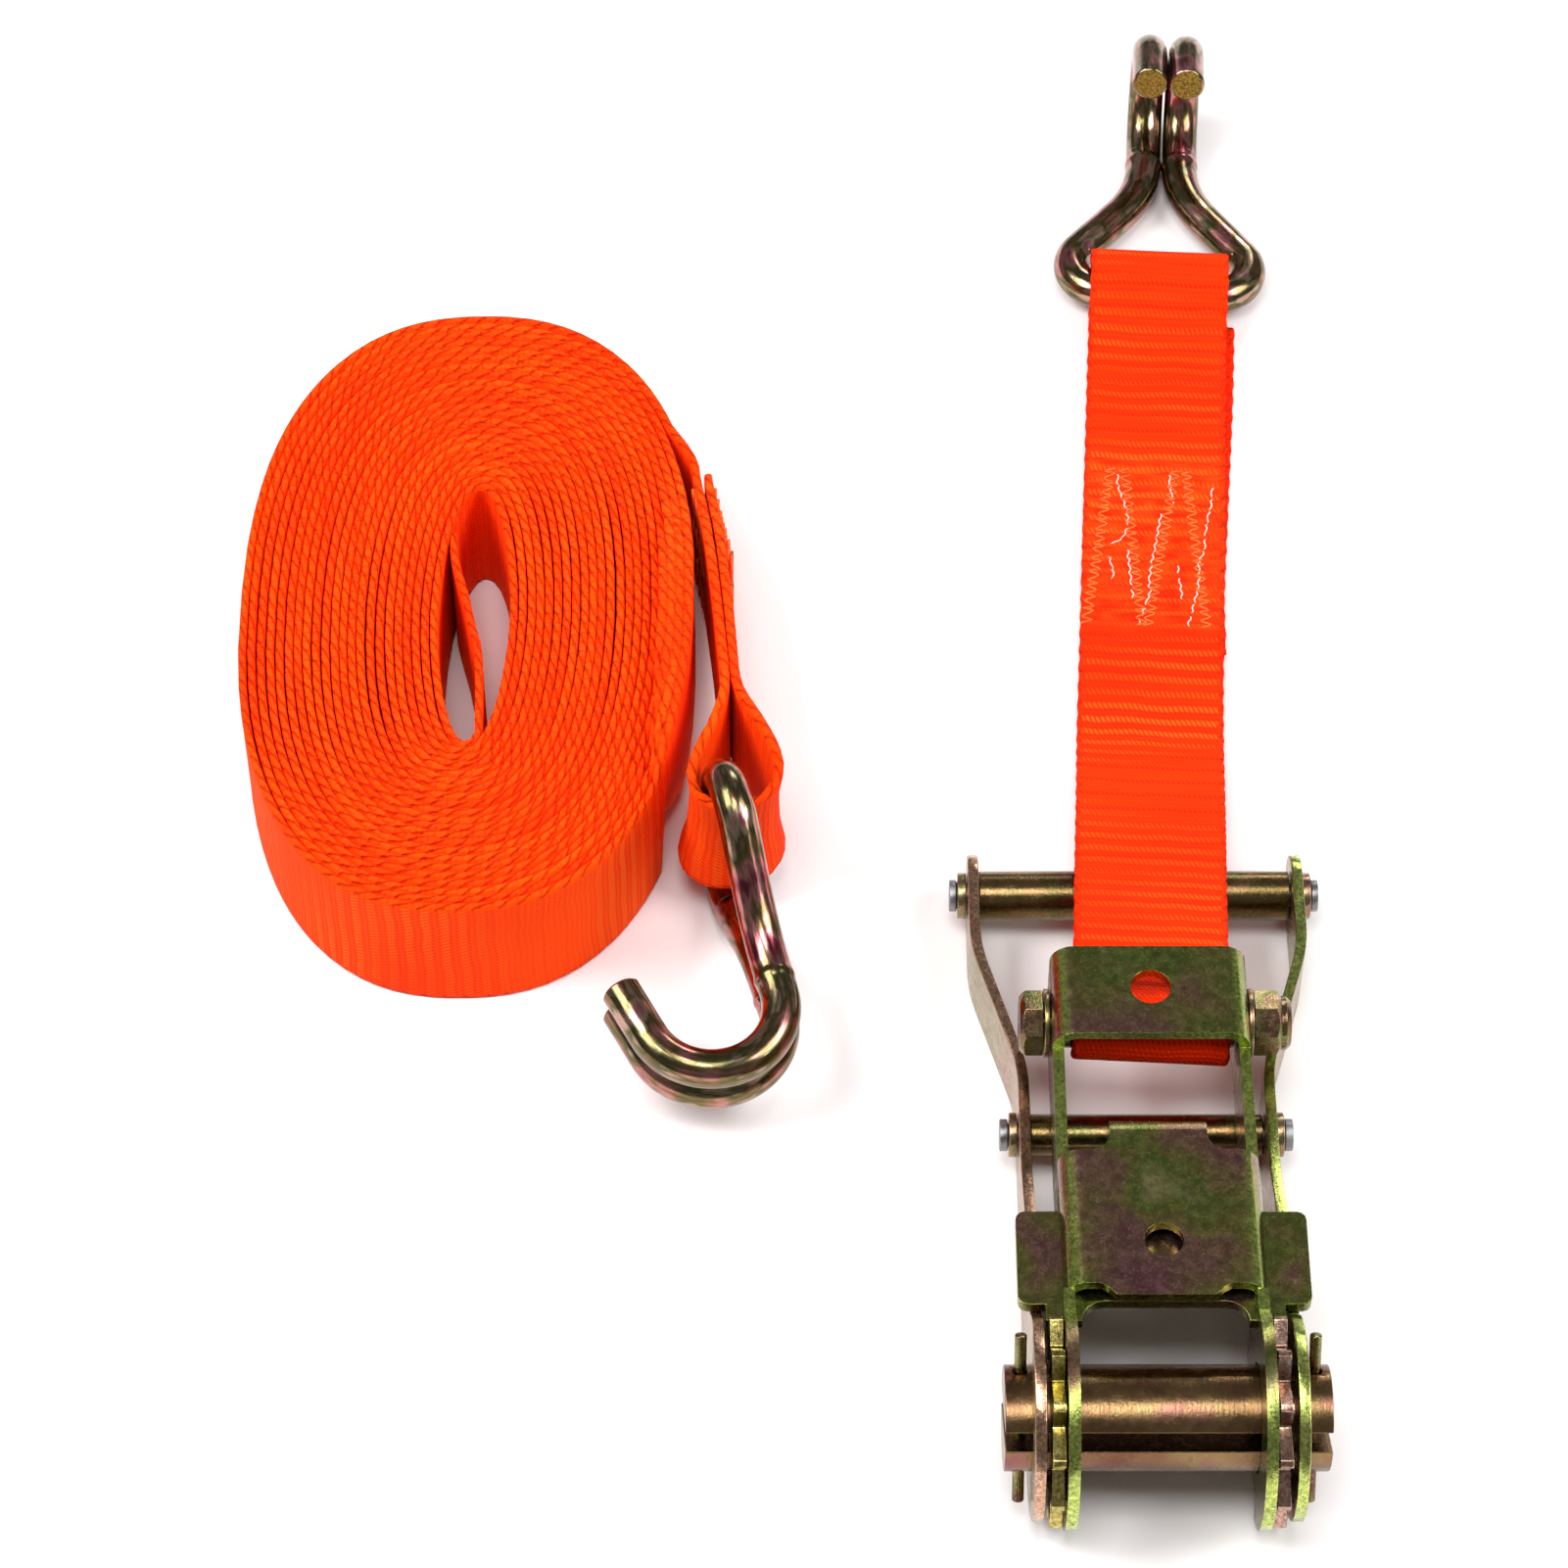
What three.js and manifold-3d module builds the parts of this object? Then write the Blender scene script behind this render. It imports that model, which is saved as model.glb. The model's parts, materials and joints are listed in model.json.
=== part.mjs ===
// A ratchet tie-down set: a ratchet buckle with its short fixed strap and double-J hook, and a
// long strap wound into an oval roll with a second double-J hook. Millimetres, +Z up.
// The buckle is folded shut and lies with its handle on the ground and its frame plate on top.
// +Y runs from the winding drum along the buckle to the short strap's hook.
import * as THREE from 'three';
import { mergeVertices } from 'three/addons/utils/BufferGeometryUtils.js';
import Module from 'manifold-3d';

const wasm = await Module();
wasm.setup();

const DEG = Math.PI / 180;
const GAP = 0.3;            // clearance left between touching pieces
const ARC_STEP = 12 * DEG;  // largest turn between two points of an arc

// Webbing
const WEB_WIDTH = 35;
const WEB_THICK = 1.9;

// Drum, wheels and the axis they turn on; the axis runs along X at y = 0
const AXIS_Z = 23.5;
const DRUM_R = 11.3;
const DRUM_HALF_LENGTH = 34.5;
const DRUM_SLOT = 4.4;          // gap between the two half-round bars
const DRUM_SLOT_ANGLE = 149 * DEG;
const BEARING_R = 11.8;         // holes that the drum turns in
const WHEEL_TIP_R = 23.2;
const WHEEL_ROOT_R = 18.3;
const WHEEL_TEETH = 12;
const WHEEL_THICK = 3;
const COTTER_R = 1.3;
const COTTER_REACH = 19.8;
const COTTER_X = 31.1;

// Frame: a channel bent from one sheet, with a base plate and a bridge joined by the side walls
const SHEET = 2.5;
const FRAME_HALF = 21.8;
const FRAME_BEND_R = 5.5;
const PLATE_TOP = 19.5;         // height of the base plate's upper face above the drum's axis
const EAR_R = 23.8;             // release cam, behind the drum
const EAR_WORK_R = 17.9;        // below the tooth roots, where the drive pawl works
const EAR_LOCK_R = 25.5;        // hump that holds the folded handle
const BASE_HOLE_R = 4.2;
const BASE_HOLE_Y = 32.3;
const BRIDGE_HOLE_R = 4.5;
const BRIDGE_NEAR = 86;
const BRIDGE_FAR = 109.5;
const BRIDGE_WALL_R = 13;       // rounded lower corner of the walls under the bridge
const NOTCH_FLOOR_R = 23.1;     // bottom of the closing notch, from the drum's axis
const PLATE_NEAR = 21.5;
const PLATE_FAR = 55.5;
const TONGUE_HALF = 10.5;       // tabs at the two ends of the base plate
const SEAT_Y = 64.5;            // outer face of the bent-down tab that seats the pawl spring
const SEAT_LOW = 8;

// Fixed bolt through the frame, which carries the short strap
const BOLT_Y = 97.6;
const BOLT_H = 6.6;             // above the drum's axis
const BOLT_R = 4;
const BOLT_END = 31.2;          // just inside the nut's collar
const SLEEVE_R = 5.5;
const HEX_ACROSS = 13;

// Locking pawl, a plate that slides along Y through the frame's walls
const PAWL_THICK = 3;
const PAWL_LOW = 11;            // underside, above the drum's axis
const LOCK_NOSE = 15.5;
const LOCK_TAB_NEAR = 19.5;
const LOCK_REAR = 43;
const LOCK_HALF = 31.3;
const LOCK_TRAVEL = 6;

// Drive pawl, a plate that slides in the handle; its line slopes down towards the mid spacer
const DRIVE_ANGLE = -18 * DEG;
const DRIVE_NOSE = 23.9;        // along the pawl's own line, measured past the drum's axis
const DRIVE_REAR = 44;
const DRIVE_IN = 2.6;           // travel into the frame's closing notch
const DRIVE_OUT = 1.5;
const DRIVE_HALF = 30.4;
const HANDLE_OPEN = 180 * DEG;  // the handle's place where the drive pawl drops into the ears

// Handle: two flared side plates joined by the grip and the mid spacer
const HANDLE_IN = 26.2;         // inner face of the plates beside the drum
const HANDLE_FLARE = 9.9;       // how far the plates step out towards the grip
const HANDLE_EAR_R = 21.9;
const GRIP_Y = 148.2;
const GRIP_H = 9.5;             // above the ground
const GRIP_R = 5.75;
const GRIP_BORE_R = 3.3;
const MID_Y = 81;
const MID_H = 10.2;
const MID_R = 4.65;
const MID_BORE_R = 2.8;

// Hooks: one round wire bent into two J hooks on a common base bar
const WIRE_R = 4.5;
const HOOK_HALF = 22.7;         // from the middle of the base bar to the wire's outer centreline
const HOOK_CORNER_R = 9.2;
const HOOK_SHANK = 50.5;        // from the base bar to where the bend starts
const HOOK_BEND_R = 15.8;
const HOOK_TURN = 166 * DEG;
const HOOK_TIP = 13.7;
const HOOK_APART = 4.7;         // half the distance between the two shanks
const HOOK_FLARE = 53 * DEG;    // slope of the flares from the base bar's line
const HOOK_FLARE_BLEND = 11;

// Short strap: a flat loop from the bolt over the grip to the hook
const STRAP_YAW = -3.3 * DEG;
const STRAP_SHIFT = 0.6;
const SHORT_HOOK_SIDE = 0.3;    // the hook has slid along its eye
const SHORT_HOOK_DIP = -2 * DEG;
const STRAP_EYE_Y = 244.5;
const STRAP_EYE_R = 6.3;
const STRAP_EYE_PULL = 2.5;     // the eye is longer than it is high
const BOLT_EYE_R = 6.4;
const BOLT_EYE_SLACK = 1;
const LAYERS = 2 * WEB_THICK + 0.1;
const STRAP_OFF_GROUND = 0.2;

// Where the drum's axis meets the ground, and where the roll's middle stands
const BUCKLE_X = 81;
const BUCKLE_Y = -188.4;
const ROLL_X = -74.4;
const ROLL_Y = 28;
const ROLL_HALF_X = 53.4;
const ROLL_HALF_Y = 90.6;
const ROLL_POWER = 2.37;
const SLIT_HALF_X = 8.3;
const SLIT_HALF_Y = 38.5;
const SLIT_POWER = 1.75;
const SLIT_X = 0.9;             // the slit's middle, from the roll's middle
const SLIT_Y = -4.5;

const TAIL_START = 45;          // past the roll's middle
const LONG_BAR_X = 59.4;        // middle of the hook's bar, from where the tail leaves the roll
const LONG_BAR_Y = -103.8;
const LONG_BAR_Z = 28.16;
const LONG_HOOK_TILT = 7 * DEG;
const LONG_HOOK_HEADING = -164.2 * DEG;
const EYE_FROM = -78;           // where the sewn layers part
const EYE_FULL = -97;
const EYE_SPREAD = 1.5;         // the selvedges run further round the hook's tight corners

// ---------------------------------------------------------------- finishes
const plateZinc = { color: 0x6b6a35, roughness: 0.38, metalness: 0.9 };
const copperZinc = { color: 0x8a6148, roughness: 0.38, metalness: 0.9 };
const darkZinc = { color: 0x4a4030, roughness: 0.35, metalness: 0.9 };
const wireZinc = { color: 0x6f5c3a, roughness: 0.22, metalness: 0.95 };
const bareSteel = { color: 0x77777a, roughness: 0.45, metalness: 0.85 };
const webbing = { color: 0xff3c05, roughness: 0.8, metalness: 0 };

// ---------------------------------------------------------------- solids
function toSolid(geometry) {
  geometry.deleteAttribute('normal');
  geometry.deleteAttribute('uv');
  const merged = mergeVertices(geometry, 1e-4);
  const mesh = new wasm.Mesh({
    numProp: 3,
    vertProperties: new Float32Array(merged.attributes.position.array),
    triVerts: new Uint32Array(merged.index.array),
  });
  return new wasm.Manifold(mesh);
}

function toGeometry(solid) {
  const mesh = solid.getMesh();
  const geometry = new THREE.BufferGeometry();
  geometry.setAttribute('position', new THREE.BufferAttribute(new Float32Array(mesh.vertProperties), 3));
  geometry.setIndex(new THREE.BufferAttribute(new Uint32Array(mesh.triVerts), 1));
  geometry.computeVertexNormals();
  return geometry;
}

// Extrude a flat outline between two heights; axes says which way the outline lies
const PLAN = new THREE.Matrix4();
const SIDE = new THREE.Matrix4().makeBasis(
  new THREE.Vector3(0, 1, 0), new THREE.Vector3(0, 0, 1), new THREE.Vector3(1, 0, 0));
const FRONT = new THREE.Matrix4().makeBasis(
  new THREE.Vector3(1, 0, 0), new THREE.Vector3(0, 0, 1), new THREE.Vector3(0, -1, 0));

function extrude(outline, low, high, axes = PLAN, holes = []) {
  const shape = new THREE.Shape(outline);
  shape.holes = holes.map((hole) => new THREE.Path(hole));
  const geometry = new THREE.ExtrudeGeometry(shape, { depth: high - low, bevelEnabled: false });
  geometry.translate(0, 0, low);
  geometry.applyMatrix4(axes);
  return toSolid(geometry);
}

function box(low, high) {
  const size = new THREE.Vector3().subVectors(high, low);
  const middle = new THREE.Vector3().addVectors(low, high).multiplyScalar(0.5);
  const geometry = new THREE.BoxGeometry(size.x, size.y, size.z);
  geometry.translate(middle.x, middle.y, middle.z);
  return toSolid(geometry);
}

function boxBetween(x0, x1, y0, y1, z0, z1) {
  return box(new THREE.Vector3(x0, y0, z0), new THREE.Vector3(x1, y1, z1));
}

// Round bar along X from a list of [x, radius] steps, centred on (y, z)
function turned(steps, y, z, sides = 24) {
  const profile = [new THREE.Vector2(0, steps[0][0])];
  for (const [x, radius] of steps) profile.push(new THREE.Vector2(radius, x));
  profile.push(new THREE.Vector2(0, steps[steps.length - 1][0]));
  const geometry = new THREE.LatheGeometry(profile, sides);
  geometry.applyMatrix4(new THREE.Matrix4().makeRotationZ(-Math.PI / 2));
  geometry.translate(0, y, z);
  return toSolid(geometry);
}

// Tube or washer along X
function ring(x0, x1, outer, inner, y, z, sides = 24) {
  const bore = turned([[x0 - 1, inner], [x1 + 1, inner]], y, z, sides);
  return turned([[x0, outer], [x1, outer]], y, z, sides).subtract(bore);
}

// ---------------------------------------------------------------- outlines
const point = (x, y) => new THREE.Vector2(x, y);

function arc(x, y, radius, from, to, step = ARC_STEP) {
  const count = Math.max(2, Math.ceil(Math.abs(to - from) / step) + 1);
  const points = [];
  for (let i = 0; i < count; i++) {
    const angle = from + ((to - from) * i) / (count - 1);
    points.push(point(x + radius * Math.cos(angle), y + radius * Math.sin(angle)));
  }
  return points;
}

const circle = (x, y, radius, sides = 24) =>
  arc(x, y, radius, 0, (2 * Math.PI * (sides - 1)) / sides, (2 * Math.PI) / sides);

const mirrored = (points) => points.map((p) => point(-p.x, p.y)).reverse();

// A point given along a pawl's own line (past the axis) and across it
function pawlPoint(angle, along, across) {
  return point(
    along * Math.cos(angle) - across * Math.sin(angle),
    along * Math.sin(angle) + across * Math.cos(angle));
}

// ---------------------------------------------------------------- meshes
function piece(parent, name, geometry, finish) {
  const mesh = new THREE.Mesh(geometry, new THREE.MeshStandardMaterial(finish));
  mesh.name = name;
  parent.add(mesh);
  return mesh;
}

const SIDES = [['left', -1], ['right', 1]];
const lift = (geometry) => geometry.translate(0, 0, AXIS_Z);
const between = (side, inner, outer) => (side > 0 ? [inner, outer] : [-outer, -inner]);

// ---------------------------------------------------------------- frame
function frameWall() {
  const floor = PAWL_LOW - GAP;
  const roof = PAWL_LOW + PAWL_THICK + 0.5;
  const notchLow = pawlPoint(DRIVE_ANGLE, NOTCH_FLOOR_R, floor);
  const notchInner = pawlPoint(DRIVE_ANGLE, DRIVE_NOSE - DRIVE_IN - GAP, floor);
  const notchOuter = pawlPoint(DRIVE_ANGLE, DRIVE_NOSE - DRIVE_IN - GAP, roof);
  const notchMouth = pawlPoint(DRIVE_ANGLE, DRIVE_REAR + DRIVE_OUT + 0.7, roof);
  const notchTop = Math.atan2(notchLow.y, notchLow.x);
  return [
    point(BRIDGE_FAR, PLATE_TOP),
    point(PLATE_NEAR, PLATE_TOP),
    point(PLATE_NEAR, 17.5),
    ...arc(0, 0, EAR_R, 47.3 * DEG, 237 * DEG),
    ...arc(0, 0, EAR_WORK_R, 237 * DEG, 322 * DEG),
    ...arc(0, 0, EAR_LOCK_R, 332 * DEG, 2 * Math.PI + notchTop),
    notchInner,
    notchOuter,
    notchMouth,
    point(60, -4.4),
    ...arc(BRIDGE_FAR - BRIDGE_WALL_R, 8.6, BRIDGE_WALL_R, -90 * DEG, 0),
  ];
}

function makeFrame(parent) {
  // Channel section in X and height
  const bendZ = PLATE_TOP - FRAME_BEND_R;
  const innerR = FRAME_BEND_R - SHEET;
  const halfOuter = [
    point(FRAME_HALF, -40),
    ...arc(FRAME_HALF - FRAME_BEND_R, bendZ, FRAME_BEND_R, 0, 90 * DEG, 18 * DEG),
  ];
  const halfInner = [
    point(FRAME_HALF - SHEET, -40),
    ...arc(FRAME_HALF - FRAME_BEND_R, bendZ, innerR, 0, 90 * DEG, 18 * DEG),
  ];
  const section = [
    ...halfOuter, ...mirrored(halfOuter), ...mirrored(halfInner).reverse(), ...halfInner.reverse(),
  ];
  const channel = extrude(section, -BRIDGE_FAR, -PLATE_NEAR, FRONT);
  const side = extrude(frameWall(), -FRAME_HALF - 1, FRAME_HALF + 1, SIDE);
  let frame = channel.intersect(side);

  // Ears beside the drum, where the walls rise without a bend
  for (const [, sign] of SIDES) {
    const [x0, x1] = between(sign, FRAME_HALF - SHEET, FRAME_HALF);
    const ear = extrude(frameWall(), x0, x1, SIDE);
    frame = frame.add(ear.subtract(boxBetween(x0 - 1, x1 + 1, PLATE_NEAR, 200, -60, 60)));
  }

  // Window between the base plate and the bridge, with rounded shoulders beside the end tab
  const fillet = 4;
  const windowHalf = [
    point(FRAME_HALF + 1, BRIDGE_NEAR),
    point(FRAME_HALF + 1, PLATE_FAR),
    point(TONGUE_HALF + fillet, PLATE_FAR),
    ...arc(TONGUE_HALF + fillet, PLATE_FAR + fillet, fillet, 270 * DEG, 180 * DEG, 22.5 * DEG),
    point(TONGUE_HALF, 60.4),
  ];
  const window = extrude([...windowHalf, ...mirrored(windowHalf)], 13.8, 40);
  frame = frame.subtract(window);

  // End tab of the base plate, bent down to seat the locking pawl's spring
  const tabR = 4;
  const tab = extrude([
    point(60.2, PLATE_TOP - SHEET),
    point(60.2, PLATE_TOP),
    ...arc(SEAT_Y - tabR, PLATE_TOP - tabR, tabR, 90 * DEG, 0, 22.5 * DEG),
    point(SEAT_Y, SEAT_LOW),
    point(SEAT_Y - SHEET, SEAT_LOW),
    ...arc(SEAT_Y - tabR, PLATE_TOP - tabR, tabR - SHEET, 0, 90 * DEG, 30 * DEG),
  ], -TONGUE_HALF, TONGUE_HALF, SIDE);
  frame = frame.add(tab);

  // Centre tab at the drum end of the base plate
  const lip = [
    point(-TONGUE_HALF - 4, PLATE_NEAR + 0.2),
    point(-TONGUE_HALF - 2, PLATE_NEAR - 0.8),
    point(-TONGUE_HALF, 18.6),
    point(TONGUE_HALF, 18.6),
    point(TONGUE_HALF + 2, PLATE_NEAR - 0.8),
    point(TONGUE_HALF + 4, PLATE_NEAR + 0.2),
  ];
  frame = frame.add(extrude(lip, PLATE_TOP - SHEET, PLATE_TOP));

  // Holes: base plate, bridge, drum bearing, bolt, locking pawl slots and the release notch
  frame = frame.subtract(extrude(circle(0, BASE_HOLE_Y, BASE_HOLE_R), 10, 30));
  frame = frame.subtract(extrude(circle(0, BOLT_Y + 0.8, BRIDGE_HOLE_R), 14, 30));
  frame = frame.subtract(turned([[-30, BEARING_R], [30, BEARING_R]], 0, 0, 32));
  frame = frame.subtract(turned([[-30, BOLT_R + 0.2], [30, BOLT_R + 0.2]], BOLT_Y, BOLT_H));
  frame = frame.subtract(boxBetween(
    -30, 30, LOCK_NOSE - GAP, LOCK_REAR + LOCK_TRAVEL + GAP, PAWL_LOW - GAP, PAWL_LOW + PAWL_THICK + GAP));
  const open = DRIVE_ANGLE + HANDLE_OPEN;
  const [low, high] = [PAWL_LOW - GAP - 0.1, PAWL_LOW + PAWL_THICK + GAP + 0.1];
  frame = frame.subtract(extrude([
    pawlPoint(open, DRIVE_NOSE - 3.4, low),
    pawlPoint(open, EAR_R + 6, low),
    pawlPoint(open, EAR_R + 6, high),
    pawlPoint(open, DRIVE_NOSE - 3.4, high),
  ], -30, 30, SIDE));
  piece(parent, 'frame', lift(toGeometry(frame)), plateZinc);
}

// ---------------------------------------------------------------- fixed bolt
function hexagon(y, z, across) {
  return circle(y, z, across / Math.sqrt(3), 6);
}

function hexHead(x0, x1, across) {
  const prism = extrude(hexagon(BOLT_Y, BOLT_H, across), Math.min(x0, x1), Math.max(x0, x1), SIDE);
  const corner = across / Math.sqrt(3);
  const outward = Math.sign(x1 - x0);
  const steps = [[x0, corner + 0.1], [x1 - outward * 1.4, corner + 0.1], [x1, corner - 1.6]];
  if (outward < 0) steps.reverse();
  return prism.intersect(turned(steps, BOLT_Y, BOLT_H, 24));
}

function makeBolt(parent) {
  const wall = FRAME_HALF + 0.25;
  const washer = 1.2;
  const headFace = wall + washer + 0.25;
  const shank = turned([[-headFace - 1, BOLT_R], [BOLT_END, BOLT_R]], BOLT_Y, BOLT_H, 20);
  const bolt = shank.add(hexHead(-headFace, -headFace - 5.2, HEX_ACROSS));
  piece(parent, 'strap_bolt', lift(toGeometry(bolt)), darkZinc);
  for (const [side, sign] of SIDES) {
    const [x0, x1] = between(sign, wall, wall + washer);
    piece(parent, `strap_bolt_washer_${side}`,
      lift(toGeometry(ring(x0, x1, 7.7, BOLT_R + GAP, BOLT_Y, BOLT_H))), darkZinc);
  }
  const collar = [[headFace + 5, 6.1], [headFace + 7.1, 6.1], [headFace + 8.2, 5.1]];
  const nut = hexHead(headFace, headFace + 6.2, HEX_ACROSS)
    .add(turned(collar, BOLT_Y, BOLT_H, 24))
    .subtract(turned([[headFace - 1, BOLT_R + GAP], [headFace + 12, BOLT_R + GAP]], BOLT_Y, BOLT_H, 20));
  piece(parent, 'strap_bolt_nut', lift(toGeometry(nut)), darkZinc);
  const sleeveEnd = FRAME_HALF - SHEET - GAP;
  piece(parent, 'strap_bolt_sleeve',
    lift(toGeometry(ring(-sleeveEnd, sleeveEnd, SLEEVE_R, BOLT_R + GAP, BOLT_Y, BOLT_H))), darkZinc);
}

// ---------------------------------------------------------------- drum
// Section of one half-round bar, grown by a margin for the slots it fits in
function halfMoon(margin) {
  const flat = DRUM_SLOT / 2 - margin;
  const radius = DRUM_R + margin;
  const open = Math.asin(flat / radius);
  return arc(0, 0, radius, open, Math.PI - open, 14 * DEG);
}

function turnedAbout(points, angle) {
  const cos = Math.cos(angle);
  const sin = Math.sin(angle);
  return points.map((p) => point(p.x * cos - p.y * sin, p.x * sin + p.y * cos));
}

function wheelOutline() {
  // The steep face of each tooth lies flat against the locking pawl's underside
  const faceZ = PAWL_LOW - GAP;
  const tip = Math.asin(faceZ / WHEEL_TIP_R);
  const root = Math.asin(faceZ / WHEEL_ROOT_R);
  const pitch = (2 * Math.PI) / WHEEL_TEETH;
  const outline = [];
  for (let i = 0; i < WHEEL_TEETH; i++) {
    outline.push(...arc(0, 0, WHEEL_TIP_R, tip - 4 * DEG + i * pitch, tip + i * pitch));
    outline.push(...arc(0, 0, WHEEL_ROOT_R, root + i * pitch, root + 2 * DEG + i * pitch));
  }
  return outline;
}

function makeDrum(parent) {
  for (const [name, turn] of [['upper', 0], ['lower', Math.PI]]) {
    const section = turnedAbout(halfMoon(0), DRUM_SLOT_ANGLE + Math.PI + turn);
    let bar = extrude(section, -DRUM_HALF_LENGTH, DRUM_HALF_LENGTH, SIDE);
    for (const [, sign] of SIDES) bar = bar.subtract(cotter(sign, COTTER_R + GAP, 40));
    piece(parent, `drum_half_${name}`, lift(toGeometry(bar)), copperZinc);
  }
  const slots = [0, Math.PI].map((turn) => turnedAbout(halfMoon(0.25), DRUM_SLOT_ANGLE + turn));
  for (const [side, sign] of SIDES) {
    const [x0, x1] = between(sign, FRAME_HALF + GAP, FRAME_HALF + GAP + WHEEL_THICK);
    let wheel = extrude(wheelOutline(), x0, x1, SIDE);
    for (const slot of slots) wheel = wheel.subtract(extrude(slot, x0 - 1, x1 + 1, SIDE));
    piece(parent, `ratchet_wheel_${side}`, lift(toGeometry(wheel)), plateZinc);
    piece(parent, `cotter_pin_${side}`, lift(toGeometry(cotter(sign, COTTER_R, COTTER_REACH))), copperZinc);
  }
}

// Pin across the drum, at right angles to its slot
function cotter(sign, radius, reach) {
  const geometry = new THREE.CylinderGeometry(radius, radius, 2 * reach, 12);
  geometry.rotateX(DRUM_SLOT_ANGLE - 90 * DEG);
  geometry.translate(sign * COTTER_X, 0, 0);
  return toSolid(geometry);
}

// ---------------------------------------------------------------- springs
function coil(radius, wire, length, turns) {
  class Helix extends THREE.Curve {
    getPoint(t, target = new THREE.Vector3()) {
      const angle = 2 * Math.PI * turns * t;
      return target.set(radius * Math.cos(angle), (length - 2 * wire) * t + wire, radius * Math.sin(angle));
    }
  }
  const section = new THREE.Shape(circle(0, 0, wire, 6));
  return new THREE.ExtrudeGeometry(section, {
    steps: Math.round(turns * 12), extrudePath: new Helix(), bevelEnabled: false,
  });
}

const SPRING_WIRE_R = 0.5;
const SPRING_R = 3.2;

// ---------------------------------------------------------------- locking pawl
function makeLockingPawl(parent) {
  const legIn = 17.7;
  const noseOut = 25.5;
  const recess = 20.3;
  const bow = recess - LOCK_NOSE;
  const tongue = 2;
  const half = [
    ...arc(legIn - bow, LOCK_NOSE, bow, 90 * DEG, 0, 22.5 * DEG),
    point(noseOut, LOCK_NOSE),
    point(noseOut, LOCK_TAB_NEAR),
    ...arc(LOCK_HALF - 2, LOCK_TAB_NEAR + 2, 2, -90 * DEG, 0, 30 * DEG),
    ...arc(LOCK_HALF - 2, LOCK_REAR - 2, 2, 0, 90 * DEG, 30 * DEG),
    point(tongue, LOCK_REAR),
    point(tongue, LOCK_REAR + 11),
  ];
  const outline = [...half, ...mirrored(half)];
  const pawl = extrude(outline, PAWL_LOW, PAWL_LOW + PAWL_THICK);
  piece(parent, 'locking_pawl', lift(toGeometry(pawl)), plateZinc);
  const length = SEAT_Y - SHEET - LOCK_REAR - 2 * GAP;
  const spring = coil(SPRING_R, SPRING_WIRE_R, length, 6);
  spring.translate(0, LOCK_REAR + GAP, AXIS_Z + PAWL_LOW + PAWL_THICK / 2);
  piece(parent, 'locking_pawl_spring', spring, bareSteel);
}

// ---------------------------------------------------------------- drive pawl
function makeDrivePawl(parent) {
  const legIn = 17.7;
  const noseOut = 25.5;
  const shoulder = DRIVE_NOSE + 4;
  const half = [
    ...arc(legIn - 4, DRIVE_NOSE, 4, 90 * DEG, 0, 22.5 * DEG),
    point(noseOut, DRIVE_NOSE),
    point(noseOut, DRIVE_NOSE + 2),
    point(DRIVE_HALF - 1.5, DRIVE_NOSE + 2),
    point(DRIVE_HALF, shoulder),
    ...arc(DRIVE_HALF - 3, DRIVE_REAR - 3, 3, 0, 90 * DEG, 30 * DEG),
    point(2, DRIVE_REAR),
    point(2, DRIVE_REAR + 24),
  ];
  const outline = [...half, ...mirrored(half)];
  const plate = toGeometry(extrude(outline, PAWL_LOW, PAWL_LOW + PAWL_THICK));
  plate.rotateX(DRIVE_ANGLE);
  piece(parent, 'drive_pawl', lift(plate), copperZinc);

  const seat = pawlAlong(MID_Y, MID_H - AXIS_Z) - MID_R - 2 * GAP;
  const spring = coil(SPRING_R, SPRING_WIRE_R, seat - DRIVE_REAR - GAP, 10);
  spring.translate(0, DRIVE_REAR + GAP, PAWL_LOW + PAWL_THICK / 2);
  spring.rotateX(DRIVE_ANGLE);
  piece(parent, 'drive_pawl_spring', lift(spring), bareSteel);
}

function pawlAlong(y, z) {
  return y * Math.cos(DRIVE_ANGLE) + z * Math.sin(DRIVE_ANGLE);
}

// ---------------------------------------------------------------- handle
function handleSide() {
  const low = -AXIS_Z;
  const tip = GRIP_H - AXIS_Z;
  return [
    ...arc(GRIP_Y, tip, GRIP_H, -90 * DEG, 90 * DEG, 15 * DEG),
    point(66, -4),
    point(38, 9),
    ...arc(0, 0, HANDLE_EAR_R, 28 * DEG, 225 * DEG),
    ...arc(0, 0, -low, 252 * DEG, 270 * DEG, 6 * DEG),
  ];
}

function handlePlan(sign) {
  const path = new THREE.Path();
  path.moveTo(HANDLE_IN, -30);
  path.lineTo(HANDLE_IN, 87);
  path.quadraticCurveTo(HANDLE_IN, 94, HANDLE_IN + 1.6, 99);
  path.lineTo(HANDLE_IN + HANDLE_FLARE - 1.6, 122);
  path.quadraticCurveTo(HANDLE_IN + HANDLE_FLARE, 127.5, HANDLE_IN + HANDLE_FLARE, 134);
  path.lineTo(HANDLE_IN + HANDLE_FLARE, 170);
  const inner = path.getPoints(5);
  const outer = inner.map((p) => point(p.x + SHEET, p.y)).reverse();
  const outline = [...inner, ...outer];
  return sign > 0 ? outline : mirrored(outline);
}

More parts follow.
